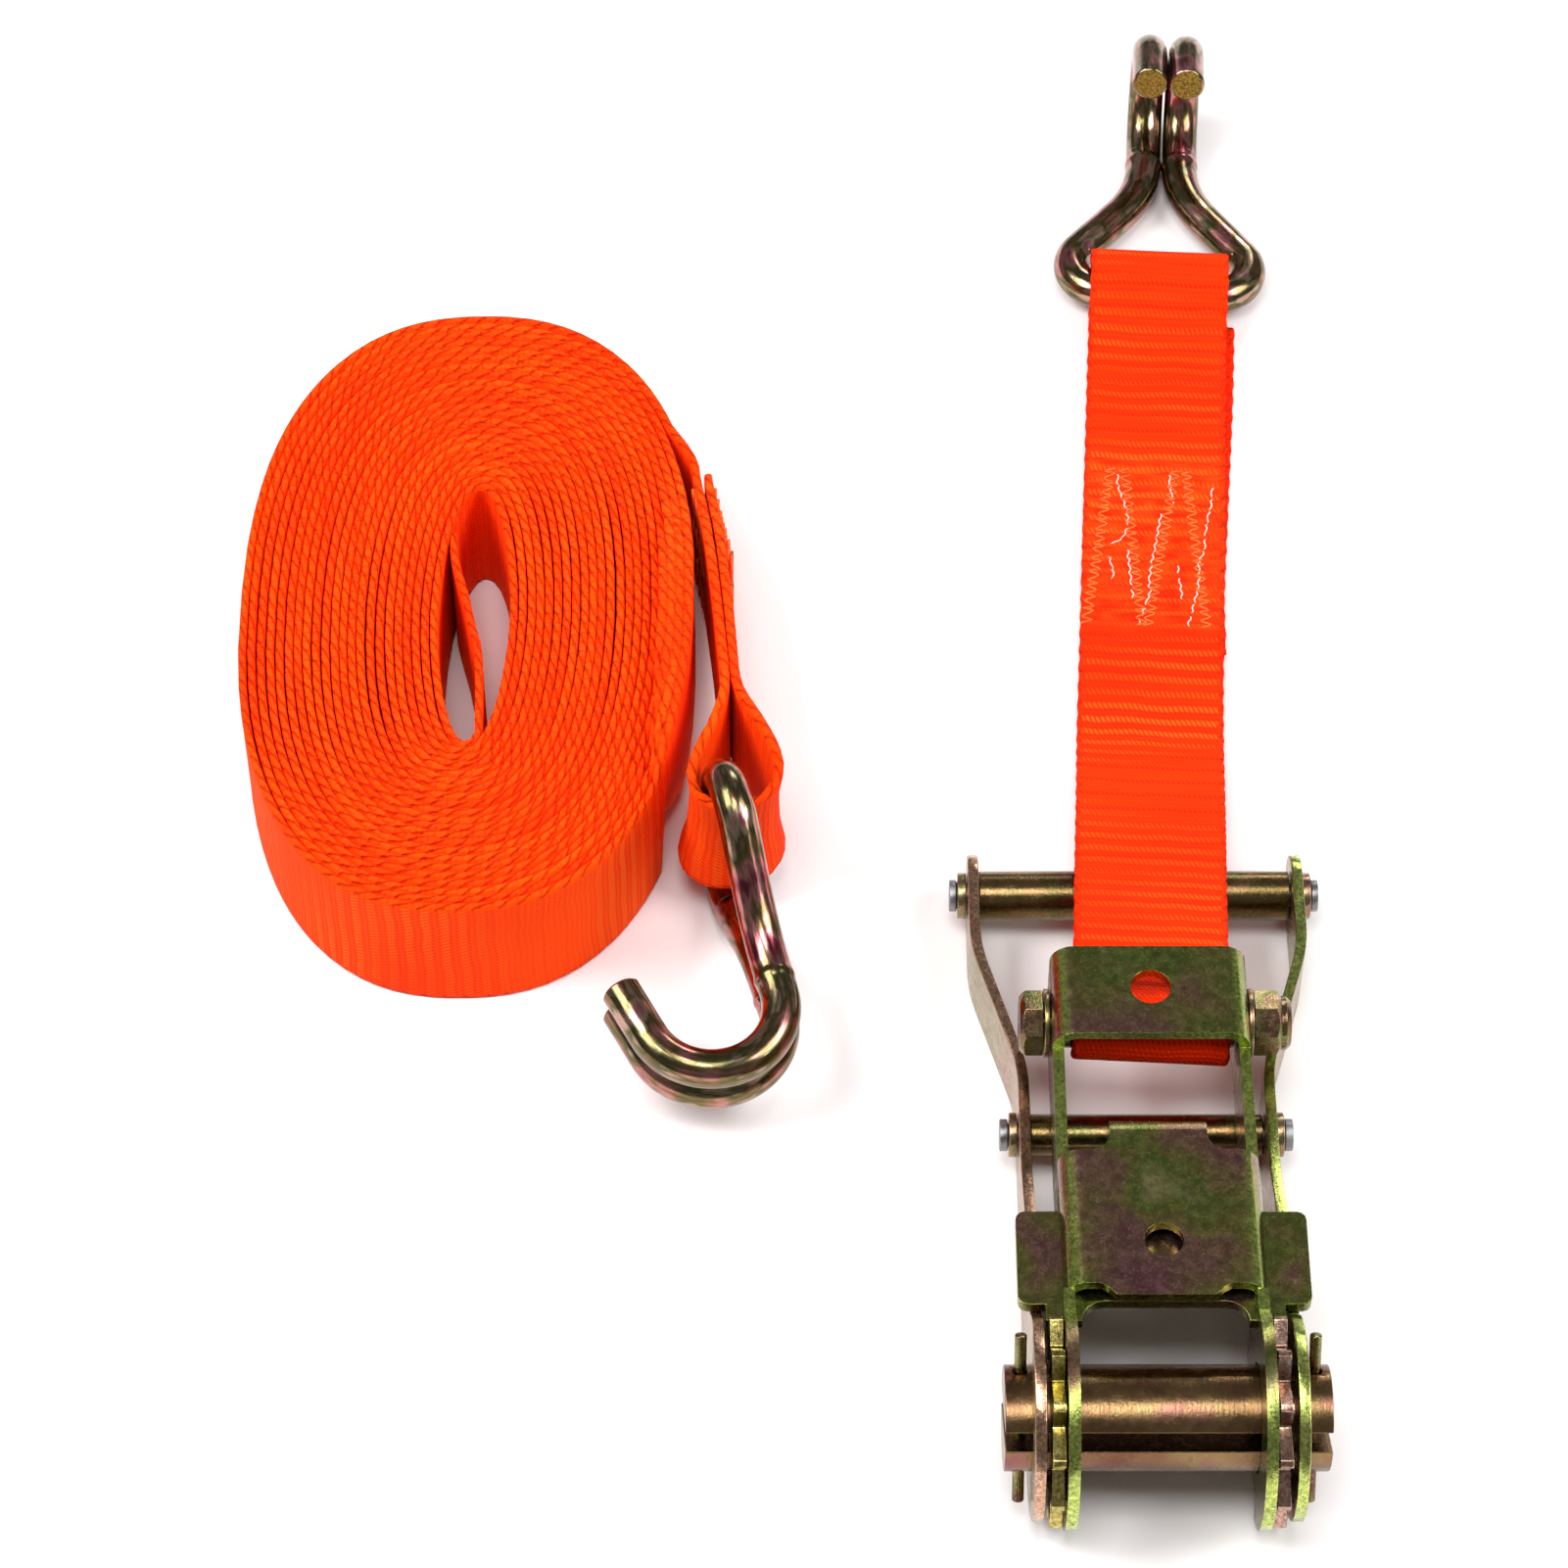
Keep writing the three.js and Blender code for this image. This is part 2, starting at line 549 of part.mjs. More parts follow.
function makeHandle(parent) {
  const gripIn = HANDLE_IN + HANDLE_FLARE;
  for (const [side, sign] of SIDES) {
    const [x0, x1] = between(sign, 20, 50);
    let plate = extrude(handlePlan(sign), -60, 60).intersect(extrude(handleSide(), x0, x1, SIDE));
    plate = plate.subtract(turned([[x0 - 1, BEARING_R], [x1 + 1, BEARING_R]], 0, 0, 32));
    plate = plate.subtract(turned(
      [[x0 - 1, GRIP_BORE_R], [x1 + 1, GRIP_BORE_R]], GRIP_Y, GRIP_H - AXIS_Z, 16));
    plate = plate.subtract(turned([[x0 - 1, MID_BORE_R], [x1 + 1, MID_BORE_R]], MID_Y, MID_H - AXIS_Z, 16));
    plate = plate.subtract(extrude([
      pawlPoint(DRIVE_ANGLE, DRIVE_NOSE - DRIVE_IN + 1.7, PAWL_LOW - GAP),
      pawlPoint(DRIVE_ANGLE, DRIVE_REAR + DRIVE_OUT + GAP, PAWL_LOW - GAP),
      pawlPoint(DRIVE_ANGLE, DRIVE_REAR + DRIVE_OUT + GAP, PAWL_LOW + PAWL_THICK + GAP),
      pawlPoint(DRIVE_ANGLE, DRIVE_NOSE - DRIVE_IN + 1.7, PAWL_LOW + PAWL_THICK + GAP),
    ], x0 - 1, x1 + 1, SIDE));
    piece(parent, `handle_plate_${side}`, lift(toGeometry(plate)), plateZinc);
    const gripWasher = between(sign, gripIn + SHEET + 0.25, gripIn + SHEET + 2.25);
    piece(parent, `grip_washer_${side}`,
      toGeometry(ring(...gripWasher, 5.4, GRIP_BORE_R, GRIP_Y, GRIP_H)), copperZinc);
    const midWasher = between(sign, HANDLE_IN + SHEET + 0.25, HANDLE_IN + SHEET + 2.05);
    piece(parent, `mid_washer_${side}`,
      toGeometry(ring(...midWasher, 5, MID_BORE_R, MID_Y, MID_H)), copperZinc);
  }
  const grip = ring(-gripIn + GAP, gripIn - GAP, GRIP_R, GRIP_BORE_R, GRIP_Y, GRIP_H);
  piece(parent, 'grip_tube', toGeometry(grip), darkZinc);
  const gripRivet = rivet(gripIn + SHEET + 2.5, GRIP_BORE_R - GAP, 3.7, 1.6, GRIP_Y, GRIP_H);
  piece(parent, 'grip_rivet', toGeometry(gripRivet), bareSteel);
  const mid = ring(-HANDLE_IN + GAP, HANDLE_IN - GAP, MID_R, MID_BORE_R, MID_Y, MID_H);
  piece(parent, 'mid_spacer_tube', toGeometry(mid), darkZinc);
  const midRivet = rivet(HANDLE_IN + SHEET + 2.3, MID_BORE_R - GAP, 3.6, 1.8, MID_Y, MID_H);
  piece(parent, 'mid_rivet', toGeometry(midRivet), bareSteel);
}

// A rivet through both plates with a flat head on each end
function rivet(half, shank, head, headHigh, y, z) {
  const end = half + headHigh;
  return turned(
    [[-end, head], [-half, head], [-half, shank], [half, shank], [half, head], [end, head]], y, z, 20);
}

// ---------------------------------------------------------------- hooks
// The wire's centreline: x across the base bar, y along the shanks, z up from the bar's level
function hookPath() {
  const corner = point(HOOK_HALF - HOOK_CORNER_R, HOOK_CORNER_R);
  const flareUp = 90 * DEG - HOOK_FLARE;
  const flareStart = point(
    corner.x + HOOK_CORNER_R * Math.cos(flareUp), corner.y + HOOK_CORNER_R * Math.sin(flareUp));
  const run = point(-Math.cos(HOOK_FLARE), Math.sin(HOOK_FLARE));
  const reach = (flareStart.x - HOOK_APART) / Math.cos(HOOK_FLARE);
  const apex = point(HOOK_APART, flareStart.y + run.y * reach);
  const blend = HOOK_FLARE_BLEND;
  const ease = new THREE.QuadraticBezierCurve(
    point(apex.x - run.x * blend, apex.y - run.y * blend), apex, point(apex.x, apex.y + blend));
  const flat = [
    point(corner.x, 0),
    ...arc(corner.x, corner.y, HOOK_CORNER_R, -78 * DEG, flareUp),
    ...ease.getPoints(6),
  ];
  const points = flat.map((p) => new THREE.Vector3(p.x, p.y, 0));
  const bendSteps = 13;
  for (let i = 0; i <= bendSteps; i++) {
    const turn = (HOOK_TURN * i) / bendSteps;
    points.push(new THREE.Vector3(
      HOOK_APART, HOOK_SHANK + HOOK_BEND_R * Math.sin(turn), HOOK_BEND_R * (1 - Math.cos(turn))));
  }
  const last = points[points.length - 1];
  points.push(new THREE.Vector3(
    HOOK_APART, last.y + HOOK_TIP * Math.cos(HOOK_TURN), last.z + HOOK_TIP * Math.sin(HOOK_TURN)));
  const other = points.map((p) => new THREE.Vector3(-p.x, p.y, p.z)).reverse();
  return [...other, ...points];
}

// Sweep a round section along a polyline, turning the section's frame as little as possible
class Polyline extends THREE.Curve {
  constructor(points) {
    super();
    this.points = points;
  }

  getPoint(t, target = new THREE.Vector3()) {
    const place = t * (this.points.length - 1);
    const i = Math.min(Math.floor(place), this.points.length - 2);
    return target.lerpVectors(this.points[i], this.points[i + 1], place - i);
  }

  // One section stands at each point, so the curve's parameter is used as it is
  getPointAt(t, target) {
    return this.getPoint(t, target);
  }

  getTangentAt(t, target = new THREE.Vector3()) {
    const place = Math.round(t * (this.points.length - 1));
    const before = this.points[Math.max(place - 1, 0)];
    const after = this.points[Math.min(place + 1, this.points.length - 1)];
    return target.subVectors(after, before).normalize();
  }
}

function hookWire(radius) {
  const points = hookPath();
  const section = new THREE.Shape(circle(0, 0, radius, 12));
  return new THREE.ExtrudeGeometry(section, {
    steps: points.length - 1, extrudePath: new Polyline(points), bevelEnabled: false,
  });
}

// ---------------------------------------------------------------- short strap
function shortStrapSide() {
  const half = LAYERS / 2;
  const down = -(AXIS_Z + BOLT_H);
  const eyeZ = down + STRAP_EYE_R + WEB_THICK + STRAP_OFF_GROUND;
  const overGrip = GRIP_H + GRIP_R + 2 * GAP + half + down;
  const grip = GRIP_Y - BOLT_Y;
  const centre = new THREE.CatmullRomCurve3([
    new THREE.Vector3(16, -3.8, 0),
    new THREE.Vector3(34, -8.2, 0),
    new THREE.Vector3(grip, overGrip, 0),
    new THREE.Vector3(grip + 25, overGrip - 6.2, 0),
    new THREE.Vector3(grip + 50, overGrip - 12, 0),
    new THREE.Vector3(grip + 74, down + half + 2 * STRAP_OFF_GROUND, 0),
    new THREE.Vector3(grip + 100, down + half + STRAP_OFF_GROUND, 0),
    new THREE.Vector3(STRAP_EYE_Y - 13, down + half + STRAP_OFF_GROUND, 0),
  ], false, 'centripetal').getPoints(28);
  const upper = [];
  const lower = [];
  centre.forEach((p, i) => {
    const before = centre[Math.max(i - 1, 0)];
    const after = centre[Math.min(i + 1, centre.length - 1)];
    const along = new THREE.Vector2(after.x - before.x, after.y - before.y).normalize();
    upper.push(point(p.x - along.y * half, p.y + along.x * half));
    lower.push(point(p.x + along.y * half, p.y - along.x * half));
  });
  const boltOuter = BOLT_EYE_R + WEB_THICK;
  const hookOuter = STRAP_EYE_R + WEB_THICK;
  const outline = [
    ...arc(-BOLT_EYE_SLACK, 0, boltOuter, 70 * DEG, 262 * DEG, 16 * DEG),
    ...lower,
    ...arc(STRAP_EYE_Y, eyeZ, hookOuter, -90 * DEG, -70 * DEG),
    ...arc(STRAP_EYE_Y + STRAP_EYE_PULL, eyeZ, hookOuter, -70 * DEG, 70 * DEG, 16 * DEG),
    ...arc(STRAP_EYE_Y, eyeZ, hookOuter, 90 * DEG, 112 * DEG),
    ...upper.reverse(),
  ];
  const boltHole = [
    point(2, BOLT_EYE_R + 0.1),
    ...arc(-BOLT_EYE_SLACK, 0, BOLT_EYE_R, 80 * DEG, 268 * DEG, 16 * DEG),
    point(2.2, -BOLT_EYE_R),
    point(12, -3.4),
    point(12, -2.2),
  ];
  const hookHole = [
    ...arc(STRAP_EYE_Y + STRAP_EYE_PULL, eyeZ, STRAP_EYE_R, -80 * DEG, 80 * DEG, 16 * DEG),
    ...arc(STRAP_EYE_Y, eyeZ, STRAP_EYE_R, 100 * DEG, 130 * DEG, 16 * DEG),
    point(STRAP_EYE_Y - 9, down + WEB_THICK + 0.8),
    point(STRAP_EYE_Y - 9, down + WEB_THICK + 0.1),
    ...arc(STRAP_EYE_Y, eyeZ, STRAP_EYE_R, -92 * DEG, -88 * DEG),
  ];
  return { outline, holes: [boltHole, hookHole] };
}

function makeShortStrap(parent) {
  const { outline, holes } = shortStrapSide();
  const strap = extrude(outline, -WEB_WIDTH / 2, WEB_WIDTH / 2, SIDE, holes);
  piece(parent, 'short_strap', toGeometry(strap), webbing);
}

// ---------------------------------------------------------------- long strap
function superellipse(halfX, halfY, power, count) {
  const points = [];
  for (let i = 0; i < count; i++) {
    const angle = (2 * Math.PI * i) / count;
    const cos = Math.cos(angle);
    const sin = Math.sin(angle);
    const radius = (Math.abs(cos / halfX) ** power + Math.abs(sin / halfY) ** power) ** (-1 / power);
    points.push(point(radius * cos, radius * sin));
  }
  return points;
}

function makeRoll(parent) {
  const slit = superellipse(SLIT_HALF_X, SLIT_HALF_Y, SLIT_POWER, 28)
    .map((p) => point(p.x + SLIT_X, p.y + SLIT_Y));
  const roll = extrude(superellipse(ROLL_HALF_X, ROLL_HALF_Y, ROLL_POWER, 56), 0, WEB_WIDTH, PLAN, [slit]);
  piece(parent, 'long_strap_roll', toGeometry(roll), webbing);
}

// The sewn tail leaves the roll's outer turn and opens into an eye round the hook's bar. Its
// outline is measured from where it leaves the roll.
const TAIL_CENTRE = [[53, 0], [54.9, -9], [57.6, -25], [59.6, -44], [61, -61], [61.9, -73]];
const TAIL_EYE = [
  [59.6, -78], [56.5, -87], [53.2, -95], [51.9, -102], [53, -107.6], [57, -110.9], [61.5, -111.6],
  [66.5, -110.9], [71.2, -108], [73.9, -102.6], [72.6, -95], [68.6, -86.5], [64.4, -78],
];

// The loop moved sideways by a distance, positive to its left
function offset(points, distance) {
  return points.map((p, i) => {
    const before = points[Math.max(i - 1, 0)];
    const after = points[Math.min(i + 1, points.length - 1)];
    const along = new THREE.Vector2().subVectors(after, before).normalize();
    return point(p.x - along.y * distance, p.y + along.x * distance);
  });
}

function tailPlan() {
  const half = LAYERS / 2;
  const centre = TAIL_CENTRE.map(([x, y]) => point(x, y));
  const loop = TAIL_EYE.map(([x, y]) => point(x, y));
  const outline = [...offset(centre, -half), ...loop, ...offset(centre, half).reverse()];
  const hole = offset(loop, WEB_THICK).slice(1, -1);
  return { outline, hole };
}

// The webbing climbs from the ground to the middle of the hook's bar, and its eye leans with it
function climb(geometry) {
  const place = geometry.attributes.position;
  const rise = LONG_BAR_Z - WEB_WIDTH / 2;
  const p = new THREE.Vector3();
  for (let i = 0; i < place.count; i++) {
    p.fromBufferAttribute(place, i);
    const across = (2 * p.z) / WEB_WIDTH - 1;
    const eye = THREE.MathUtils.smoothstep(-p.y, -EYE_FROM, -EYE_FULL);
    const away = new THREE.Vector2(p.x - LONG_BAR_X, p.y - LONG_BAR_Y).normalize();
    const spread = EYE_SPREAD * eye * Math.abs(across) ** 3;
    const lean = Math.tan(LONG_HOOK_TILT) * (across * WEB_WIDTH / 2) * eye;
    const past = p.y - LONG_BAR_Y;
    p.x += away.x * spread - Math.sin(LONG_HOOK_HEADING) * lean;
    p.y += away.y * spread + Math.cos(LONG_HOOK_HEADING) * lean;
    p.z += rise * Math.min(1, p.y / LONG_BAR_Y) + Math.tan(LONG_HOOK_TILT) * Math.min(0, past);
    place.setXYZ(i, p.x, p.y, p.z);
  }
  return geometry;
}

function makeTail(parent) {
  const { outline, hole } = tailPlan();
  const shape = new THREE.Shape(outline);
  shape.holes = [new THREE.Path(hole)];
  const tail = new THREE.ExtrudeGeometry(shape, { depth: WEB_WIDTH, steps: 8, bevelEnabled: false });
  piece(parent, 'long_strap_tail', climb(tail), webbing);
}

// ---------------------------------------------------------------- assembly
const bench = new THREE.Group();

const buckle = new THREE.Group();
buckle.position.set(BUCKLE_X, BUCKLE_Y, 0);
bench.add(buckle);
makeFrame(buckle);
makeBolt(buckle);
makeDrum(buckle);
makeLockingPawl(buckle);
makeDrivePawl(buckle);
makeHandle(buckle);

const strapGroup = new THREE.Group();
strapGroup.position.set(STRAP_SHIFT, BOLT_Y, AXIS_Z + BOLT_H);
strapGroup.rotation.z = STRAP_YAW;
buckle.add(strapGroup);
makeShortStrap(strapGroup);

const shortHook = new THREE.Group();
shortHook.position.set(SHORT_HOOK_SIDE, STRAP_EYE_Y, WEB_THICK + 0.4 + WIRE_R - AXIS_Z - BOLT_H);
shortHook.rotation.x = SHORT_HOOK_DIP;
strapGroup.add(shortHook);
piece(shortHook, 'short_strap_hook', hookWire(WIRE_R), wireZinc);

const coilGroup = new THREE.Group();
coilGroup.position.set(ROLL_X, ROLL_Y, 0);
bench.add(coilGroup);
makeRoll(coilGroup);

const tailGroup = new THREE.Group();
tailGroup.position.y = TAIL_START;
coilGroup.add(tailGroup);
makeTail(tailGroup);

// The second hook lies on its side: its bar stands in the eye and its shanks run towards -Y
const longHook = new THREE.Group();
longHook.position.set(LONG_BAR_X, LONG_BAR_Y, LONG_BAR_Z);
longHook.rotation.order = 'ZXY';
longHook.rotation.z = LONG_HOOK_HEADING;
longHook.rotation.x = -LONG_HOOK_TILT;
longHook.rotation.y = 90 * DEG;
tailGroup.add(longHook);
piece(longHook, 'long_strap_hook', hookWire(WIRE_R), wireZinc);

// Stand the set on the ground with the origin under the middle of its bounding box
bench.updateMatrixWorld(true);
const bounds = new THREE.Box3().setFromObject(bench, true);
const middle = bounds.getCenter(new THREE.Vector3());
bench.position.set(-middle.x, -middle.y, -bounds.min.z);
bench.updateMatrixWorld(true);

export default bench;
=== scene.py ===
import json
import math

import bmesh
import bpy
from mathutils import Matrix, Vector
from mathutils.noise import noise


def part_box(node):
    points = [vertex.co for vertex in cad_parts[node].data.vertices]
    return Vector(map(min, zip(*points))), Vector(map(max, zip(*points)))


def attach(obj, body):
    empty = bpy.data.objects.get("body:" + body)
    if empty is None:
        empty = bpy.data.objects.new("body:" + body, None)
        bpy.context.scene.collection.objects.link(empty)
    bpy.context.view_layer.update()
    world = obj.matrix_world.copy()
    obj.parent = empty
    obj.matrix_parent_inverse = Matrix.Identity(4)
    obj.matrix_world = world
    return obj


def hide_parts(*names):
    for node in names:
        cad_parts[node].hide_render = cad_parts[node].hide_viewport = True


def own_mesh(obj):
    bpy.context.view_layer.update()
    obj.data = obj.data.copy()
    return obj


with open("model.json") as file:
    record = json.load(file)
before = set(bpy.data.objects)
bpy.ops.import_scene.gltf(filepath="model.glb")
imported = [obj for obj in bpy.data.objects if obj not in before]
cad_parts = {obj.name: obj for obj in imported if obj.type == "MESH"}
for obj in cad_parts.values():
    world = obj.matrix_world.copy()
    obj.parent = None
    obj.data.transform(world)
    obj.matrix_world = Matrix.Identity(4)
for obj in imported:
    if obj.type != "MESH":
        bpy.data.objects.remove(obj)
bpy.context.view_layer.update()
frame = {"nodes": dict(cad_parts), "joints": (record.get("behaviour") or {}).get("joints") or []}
nodes = frame["nodes"]
joints = {joint["name"]: joint for joint in frame["joints"]}
MM = 0.001

# ------------------------------------------------------------------ camera
CAMERA_TARGET = Vector((0.00205, -0.00627, 0.0))
CAMERA_DISTANCE = 1.214
CAMERA_ELEVATION = math.radians(52.2)
CAMERA_LENS = 116.9
CAMERA_SENSOR = 36


def make_camera():
    data = bpy.data.cameras.new("camera")
    data.lens = CAMERA_LENS
    data.sensor_width = CAMERA_SENSOR
    data.clip_start = 0.05
    camera = bpy.data.objects.new("camera", data)
    bpy.context.scene.collection.objects.link(camera)
    back = Vector((0, -math.cos(CAMERA_ELEVATION), math.sin(CAMERA_ELEVATION)))
    camera.location = CAMERA_TARGET + CAMERA_DISTANCE * back
    camera.rotation_euler = (math.pi / 2 - CAMERA_ELEVATION, 0, 0)
    bpy.context.scene.camera = camera


make_camera()


# ------------------------------------------------------------------ shader helper
class Shader:
    """A material's node tree, built with short calls."""

    def __init__(self, name):
        self.material = bpy.data.materials.new(name)
        self.material.use_nodes = True
        self.tree = self.material.node_tree
        self.surface = self.tree.nodes["Principled BSDF"]

    def node(self, kind, **values):
        made = self.tree.nodes.new("ShaderNode" + kind)
        for key, value in values.items():
            setattr(made, key, value)
        return made

    def put(self, target, value):
        if isinstance(value, bpy.types.NodeSocket):
            self.tree.links.new(value, target)
        else:
            target.default_value = value

    def math(self, operation, a, b=0.0):
        made = self.node("Math", operation=operation)
        self.put(made.inputs[0], a)
        self.put(made.inputs[1], b)
        return made.outputs[0]

    def noise(self, place, scale, detail=3.0, rough=0.5, stretch=None):
        if stretch:
            made = self.node("Mapping")
            self.put(made.inputs["Vector"], place)
            made.inputs["Scale"].default_value = stretch
            place = made.outputs[0]
        made = self.node("TexNoise")
        self.put(made.inputs["Vector"], place)
        made.inputs["Scale"].default_value = scale
        made.inputs["Detail"].default_value = detail
        made.inputs["Roughness"].default_value = rough
        return made.outputs[0]

    def span(self, value, low, high, to_low=0.0, to_high=1.0):
        made = self.node("MapRange")
        for socket, number in zip(made.inputs[:5], (value, low, high, to_low, to_high)):
            self.put(socket, number)
        return made.outputs[0]

    def times(self, a, b):
        return self.math("MULTIPLY", a, b)

    def wave(self, along, period):
        """Sine of a distance, with that period."""
        return self.math("SINE", self.times(along, 2 * math.pi / period))

    def mix(self, factor, a, b):
        made = self.node("Mix", data_type="RGBA")
        self.put(made.inputs[0], factor)
        self.put(made.inputs[6], a if isinstance(a, bpy.types.NodeSocket) else (*a, 1))
        self.put(made.inputs[7], b if isinstance(b, bpy.types.NodeSocket) else (*b, 1))
        return made.outputs[2]

    def ramp(self, value, stops):
        made = self.node("ValToRGB")
        self.put(made.inputs[0], value)
        elements = made.color_ramp.elements
        while len(elements) < len(stops):
            elements.new(0.5)
        for element, (place, colour) in zip(elements, stops):
            element.position = place
            element.color = (*colour, 1)
        return made.outputs[0]

    def bump(self, height, distance, strength=1.0, over=None):
        made = self.node("Bump")
        made.inputs["Distance"].default_value = distance
        made.inputs["Strength"].default_value = strength
        self.put(made.inputs["Height"], height)
        if over:
            self.put(made.inputs["Normal"], over)
        return made.outputs[0]

    def split(self, vector):
        """The x, y and z of a vector."""
        made = self.node("SeparateXYZ")
        self.put(made.inputs[0], vector)
        return made.outputs[0], made.outputs[1], made.outputs[2]

    def object_place(self):
        return self.node("TexCoord").outputs["Object"]

    def set(self, **values):
        for key, value in values.items():
            self.put(self.surface.inputs[key.replace("_", " ")], value)


# ------------------------------------------------------------------ plated steel
# Yellow-chromate zinc shows thin-film colours: olive, straw, violet and copper in soft clouds.
OLIVE = (0.19, 0.165, 0.053)
STRAW = (0.50, 0.45, 0.17)
VIOLET = (0.20, 0.075, 0.10)
STAIN = (0.05, 0.045, 0.02)
GREEN = (0.125, 0.165, 0.035)
EDGE = (0.42, 0.52, 0.12)
EDGE_COPPER = (0.52, 0.30, 0.20)


def cut_edges(s, rim):
    """Mask of the cut edges of a plate that stands along the frame's walls. The channel's upper faces
    are its outside, so there only the walls' rims below the bend count."""
    x, _, z = s.split(s.node("TexCoord").outputs["Normal"])
    side = s.span(s.math("ABSOLUTE", x), 0.86, 0.6)
    if rim == "frame":
        side = s.times(side, s.span(s.math("ABSOLUTE", z), 0.97, 0.86))
        height = s.split(s.object_place())[2]
        wall = s.span(height, FRAME_BEND_Z, FRAME_BEND_Z - FRAME_BEND_FADE)
        side = s.math("MAXIMUM", side, s.times(wall, s.span(s.math("ABSOLUTE", x), 0.86, 0.6)))
    return side


def plated(name, clouds, cloud_scale=38, rough=(0.20, 0.34), edge=None, edge_colour=EDGE,
           speckle=0.5, seed=0.0):
    """clouds: colour stops of the thin film. edge: the kind of plate, if its cut edges have their own
    colour."""
    s = Shader(name)
    moved = s.node("Mapping")
    s.put(moved.inputs["Vector"], s.object_place())
    moved.inputs["Location"].default_value = (seed, seed * 0.7, -seed)
    place = moved.outputs[0]
    colour = s.ramp(s.span(s.noise(place, cloud_scale, 2.5, 0.55), 0.3, 0.7), clouds)
    fine = s.noise(place, 1700, 3, 0.7)
    blotch = s.noise(place, 520, 3, 0.7)
    colour = s.mix(s.times(s.span(fine, 0.50, 0.72), speckle), colour, STRAW)
    colour = s.mix(s.times(s.span(blotch, 0.46, 0.30), 0.3), colour, STAIN)
    roughness = s.span(s.noise(place, 420, 3, 0.6), 0.3, 0.7, *rough)
    scratch = s.noise(place, 300, 2, 0.5, stretch=(6, 0.6, 1))
    if edge:
        side = cut_edges(s, edge)
        torn = s.ramp(s.noise(place, 1300, 3, 0.7), [
            (0.36, tuple(0.45 * c for c in edge_colour)), (0.52, edge_colour),
            (0.68, tuple(min(1, 1.6 * c) for c in edge_colour))])
        colour = s.mix(s.times(side, 0.85), colour, torn)
        roughness = s.math("SUBTRACT", roughness, s.times(side, 0.05))
    s.set(Base_Color=colour, Metallic=1.0, Roughness=roughness)
    pits = s.bump(fine, 0.00006, 0.6)
    s.set(Normal=s.bump(scratch, 0.00005, 0.5, over=pits))
    return s.material


FRAME_BEND_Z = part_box("frame")[1].z - 0.0045
FRAME_BEND_FADE = 0.0015
plate_clouds = [(0.0, VIOLET), (0.3, (0.22, 0.12, 0.085)), (0.52, OLIVE), (0.76, GREEN),
                (1.0, (0.29, 0.26, 0.11))]
warm_clouds = [(0.0, (0.17, 0.08, 0.08)), (0.35, (0.34, 0.19, 0.13)), (0.65, (0.30, 0.23, 0.13)),
               (1.0, OLIVE)]
dark_clouds = [(0.0, (0.09, 0.030, 0.028)), (0.4, (0.12, 0.085, 0.028)), (0.7, (0.19, 0.11, 0.050)),
               (1.0, (0.08, 0.10, 0.03))]

frame_metal = plated("frame_plating", plate_clouds, 42, edge="frame", seed=0.31)
handle_metal = {
    side: plated(f"handle_plating_{side}", warm_clouds, 30, rough=(0.2, 0.36), edge="plate",
                 edge_colour=tone, seed=0.77)
    for side, tone in (("left", EDGE_COPPER), ("right", EDGE))}
wheel_metal = {
    side: plated(f"wheel_plating_{side}", warm_clouds, 60, edge="plate", edge_colour=tone, seed=1.3)
    for side, tone in (("left", (0.42, 0.36, 0.10)), ("right", (0.40, 0.25, 0.20)))}
pawl_metal = plated("pawl_plating", plate_clouds, 50, seed=2.1)
drum_clouds = [(0.0, (0.12, 0.030, 0.028)), (0.4, (0.17, 0.088, 0.045)), (0.7, (0.22, 0.14, 0.060)),
               (1.0, (0.22, 0.075, 0.075))]
drum_metal = plated("drum_plating", drum_clouds, 45, rough=(0.18, 0.3), seed=3.7, speckle=0.12)
tube_metal = plated("tube_plating", dark_clouds, 36, rough=(0.16, 0.3), seed=4.2, speckle=0.3)
bolt_clouds = [(0.0, (0.12, 0.045, 0.05)), (0.4, (0.17, 0.10, 0.055)), (0.7, (0.14, 0.14, 0.05)),
               (1.0, (0.34, 0.25, 0.13))]
bolt_metal = plated("bolt_plating", bolt_clouds, 90, rough=(0.14, 0.28), seed=5.9)
washer_metal = plated("washer_plating", warm_clouds, 80, seed=6.4)


def plain_steel():
    s = Shader("rivet_steel")
    place = s.object_place()
    cloud = s.noise(place, 220, 3, 0.6)
    s.set(Base_Color=s.ramp(cloud, [(0.3, (0.20, 0.20, 0.21)), (0.7, (0.42, 0.42, 0.43))]), Metallic=1.0,
          Roughness=s.span(cloud, 0.3, 0.7, 0.35, 0.6))
    s.set(Normal=s.bump(s.noise(place, 1200, 2), 0.00006, 0.6))
    return s.material


rivet_metal = plain_steel()

node_looks = {
    "frame": frame_metal, "locking_pawl": pawl_metal, "drive_pawl": pawl_metal,
    "drum_half_upper": drum_metal, "drum_half_lower": drum_metal,
    "grip_tube": tube_metal, "mid_spacer_tube": tube_metal, "strap_bolt_sleeve": tube_metal,
    "strap_bolt": bolt_metal, "strap_bolt_nut": bolt_metal,
    "grip_rivet": rivet_metal, "mid_rivet": rivet_metal,
}
for side in ("left", "right"):
    node_looks[f"handle_plate_{side}"] = handle_metal[side]
    node_looks[f"ratchet_wheel_{side}"] = wheel_metal[side]
    node_looks[f"cotter_pin_{side}"] = bolt_metal
    for place in ("strap_bolt", "grip", "mid"):
        node_looks[f"{place}_washer_{side}"] = washer_metal

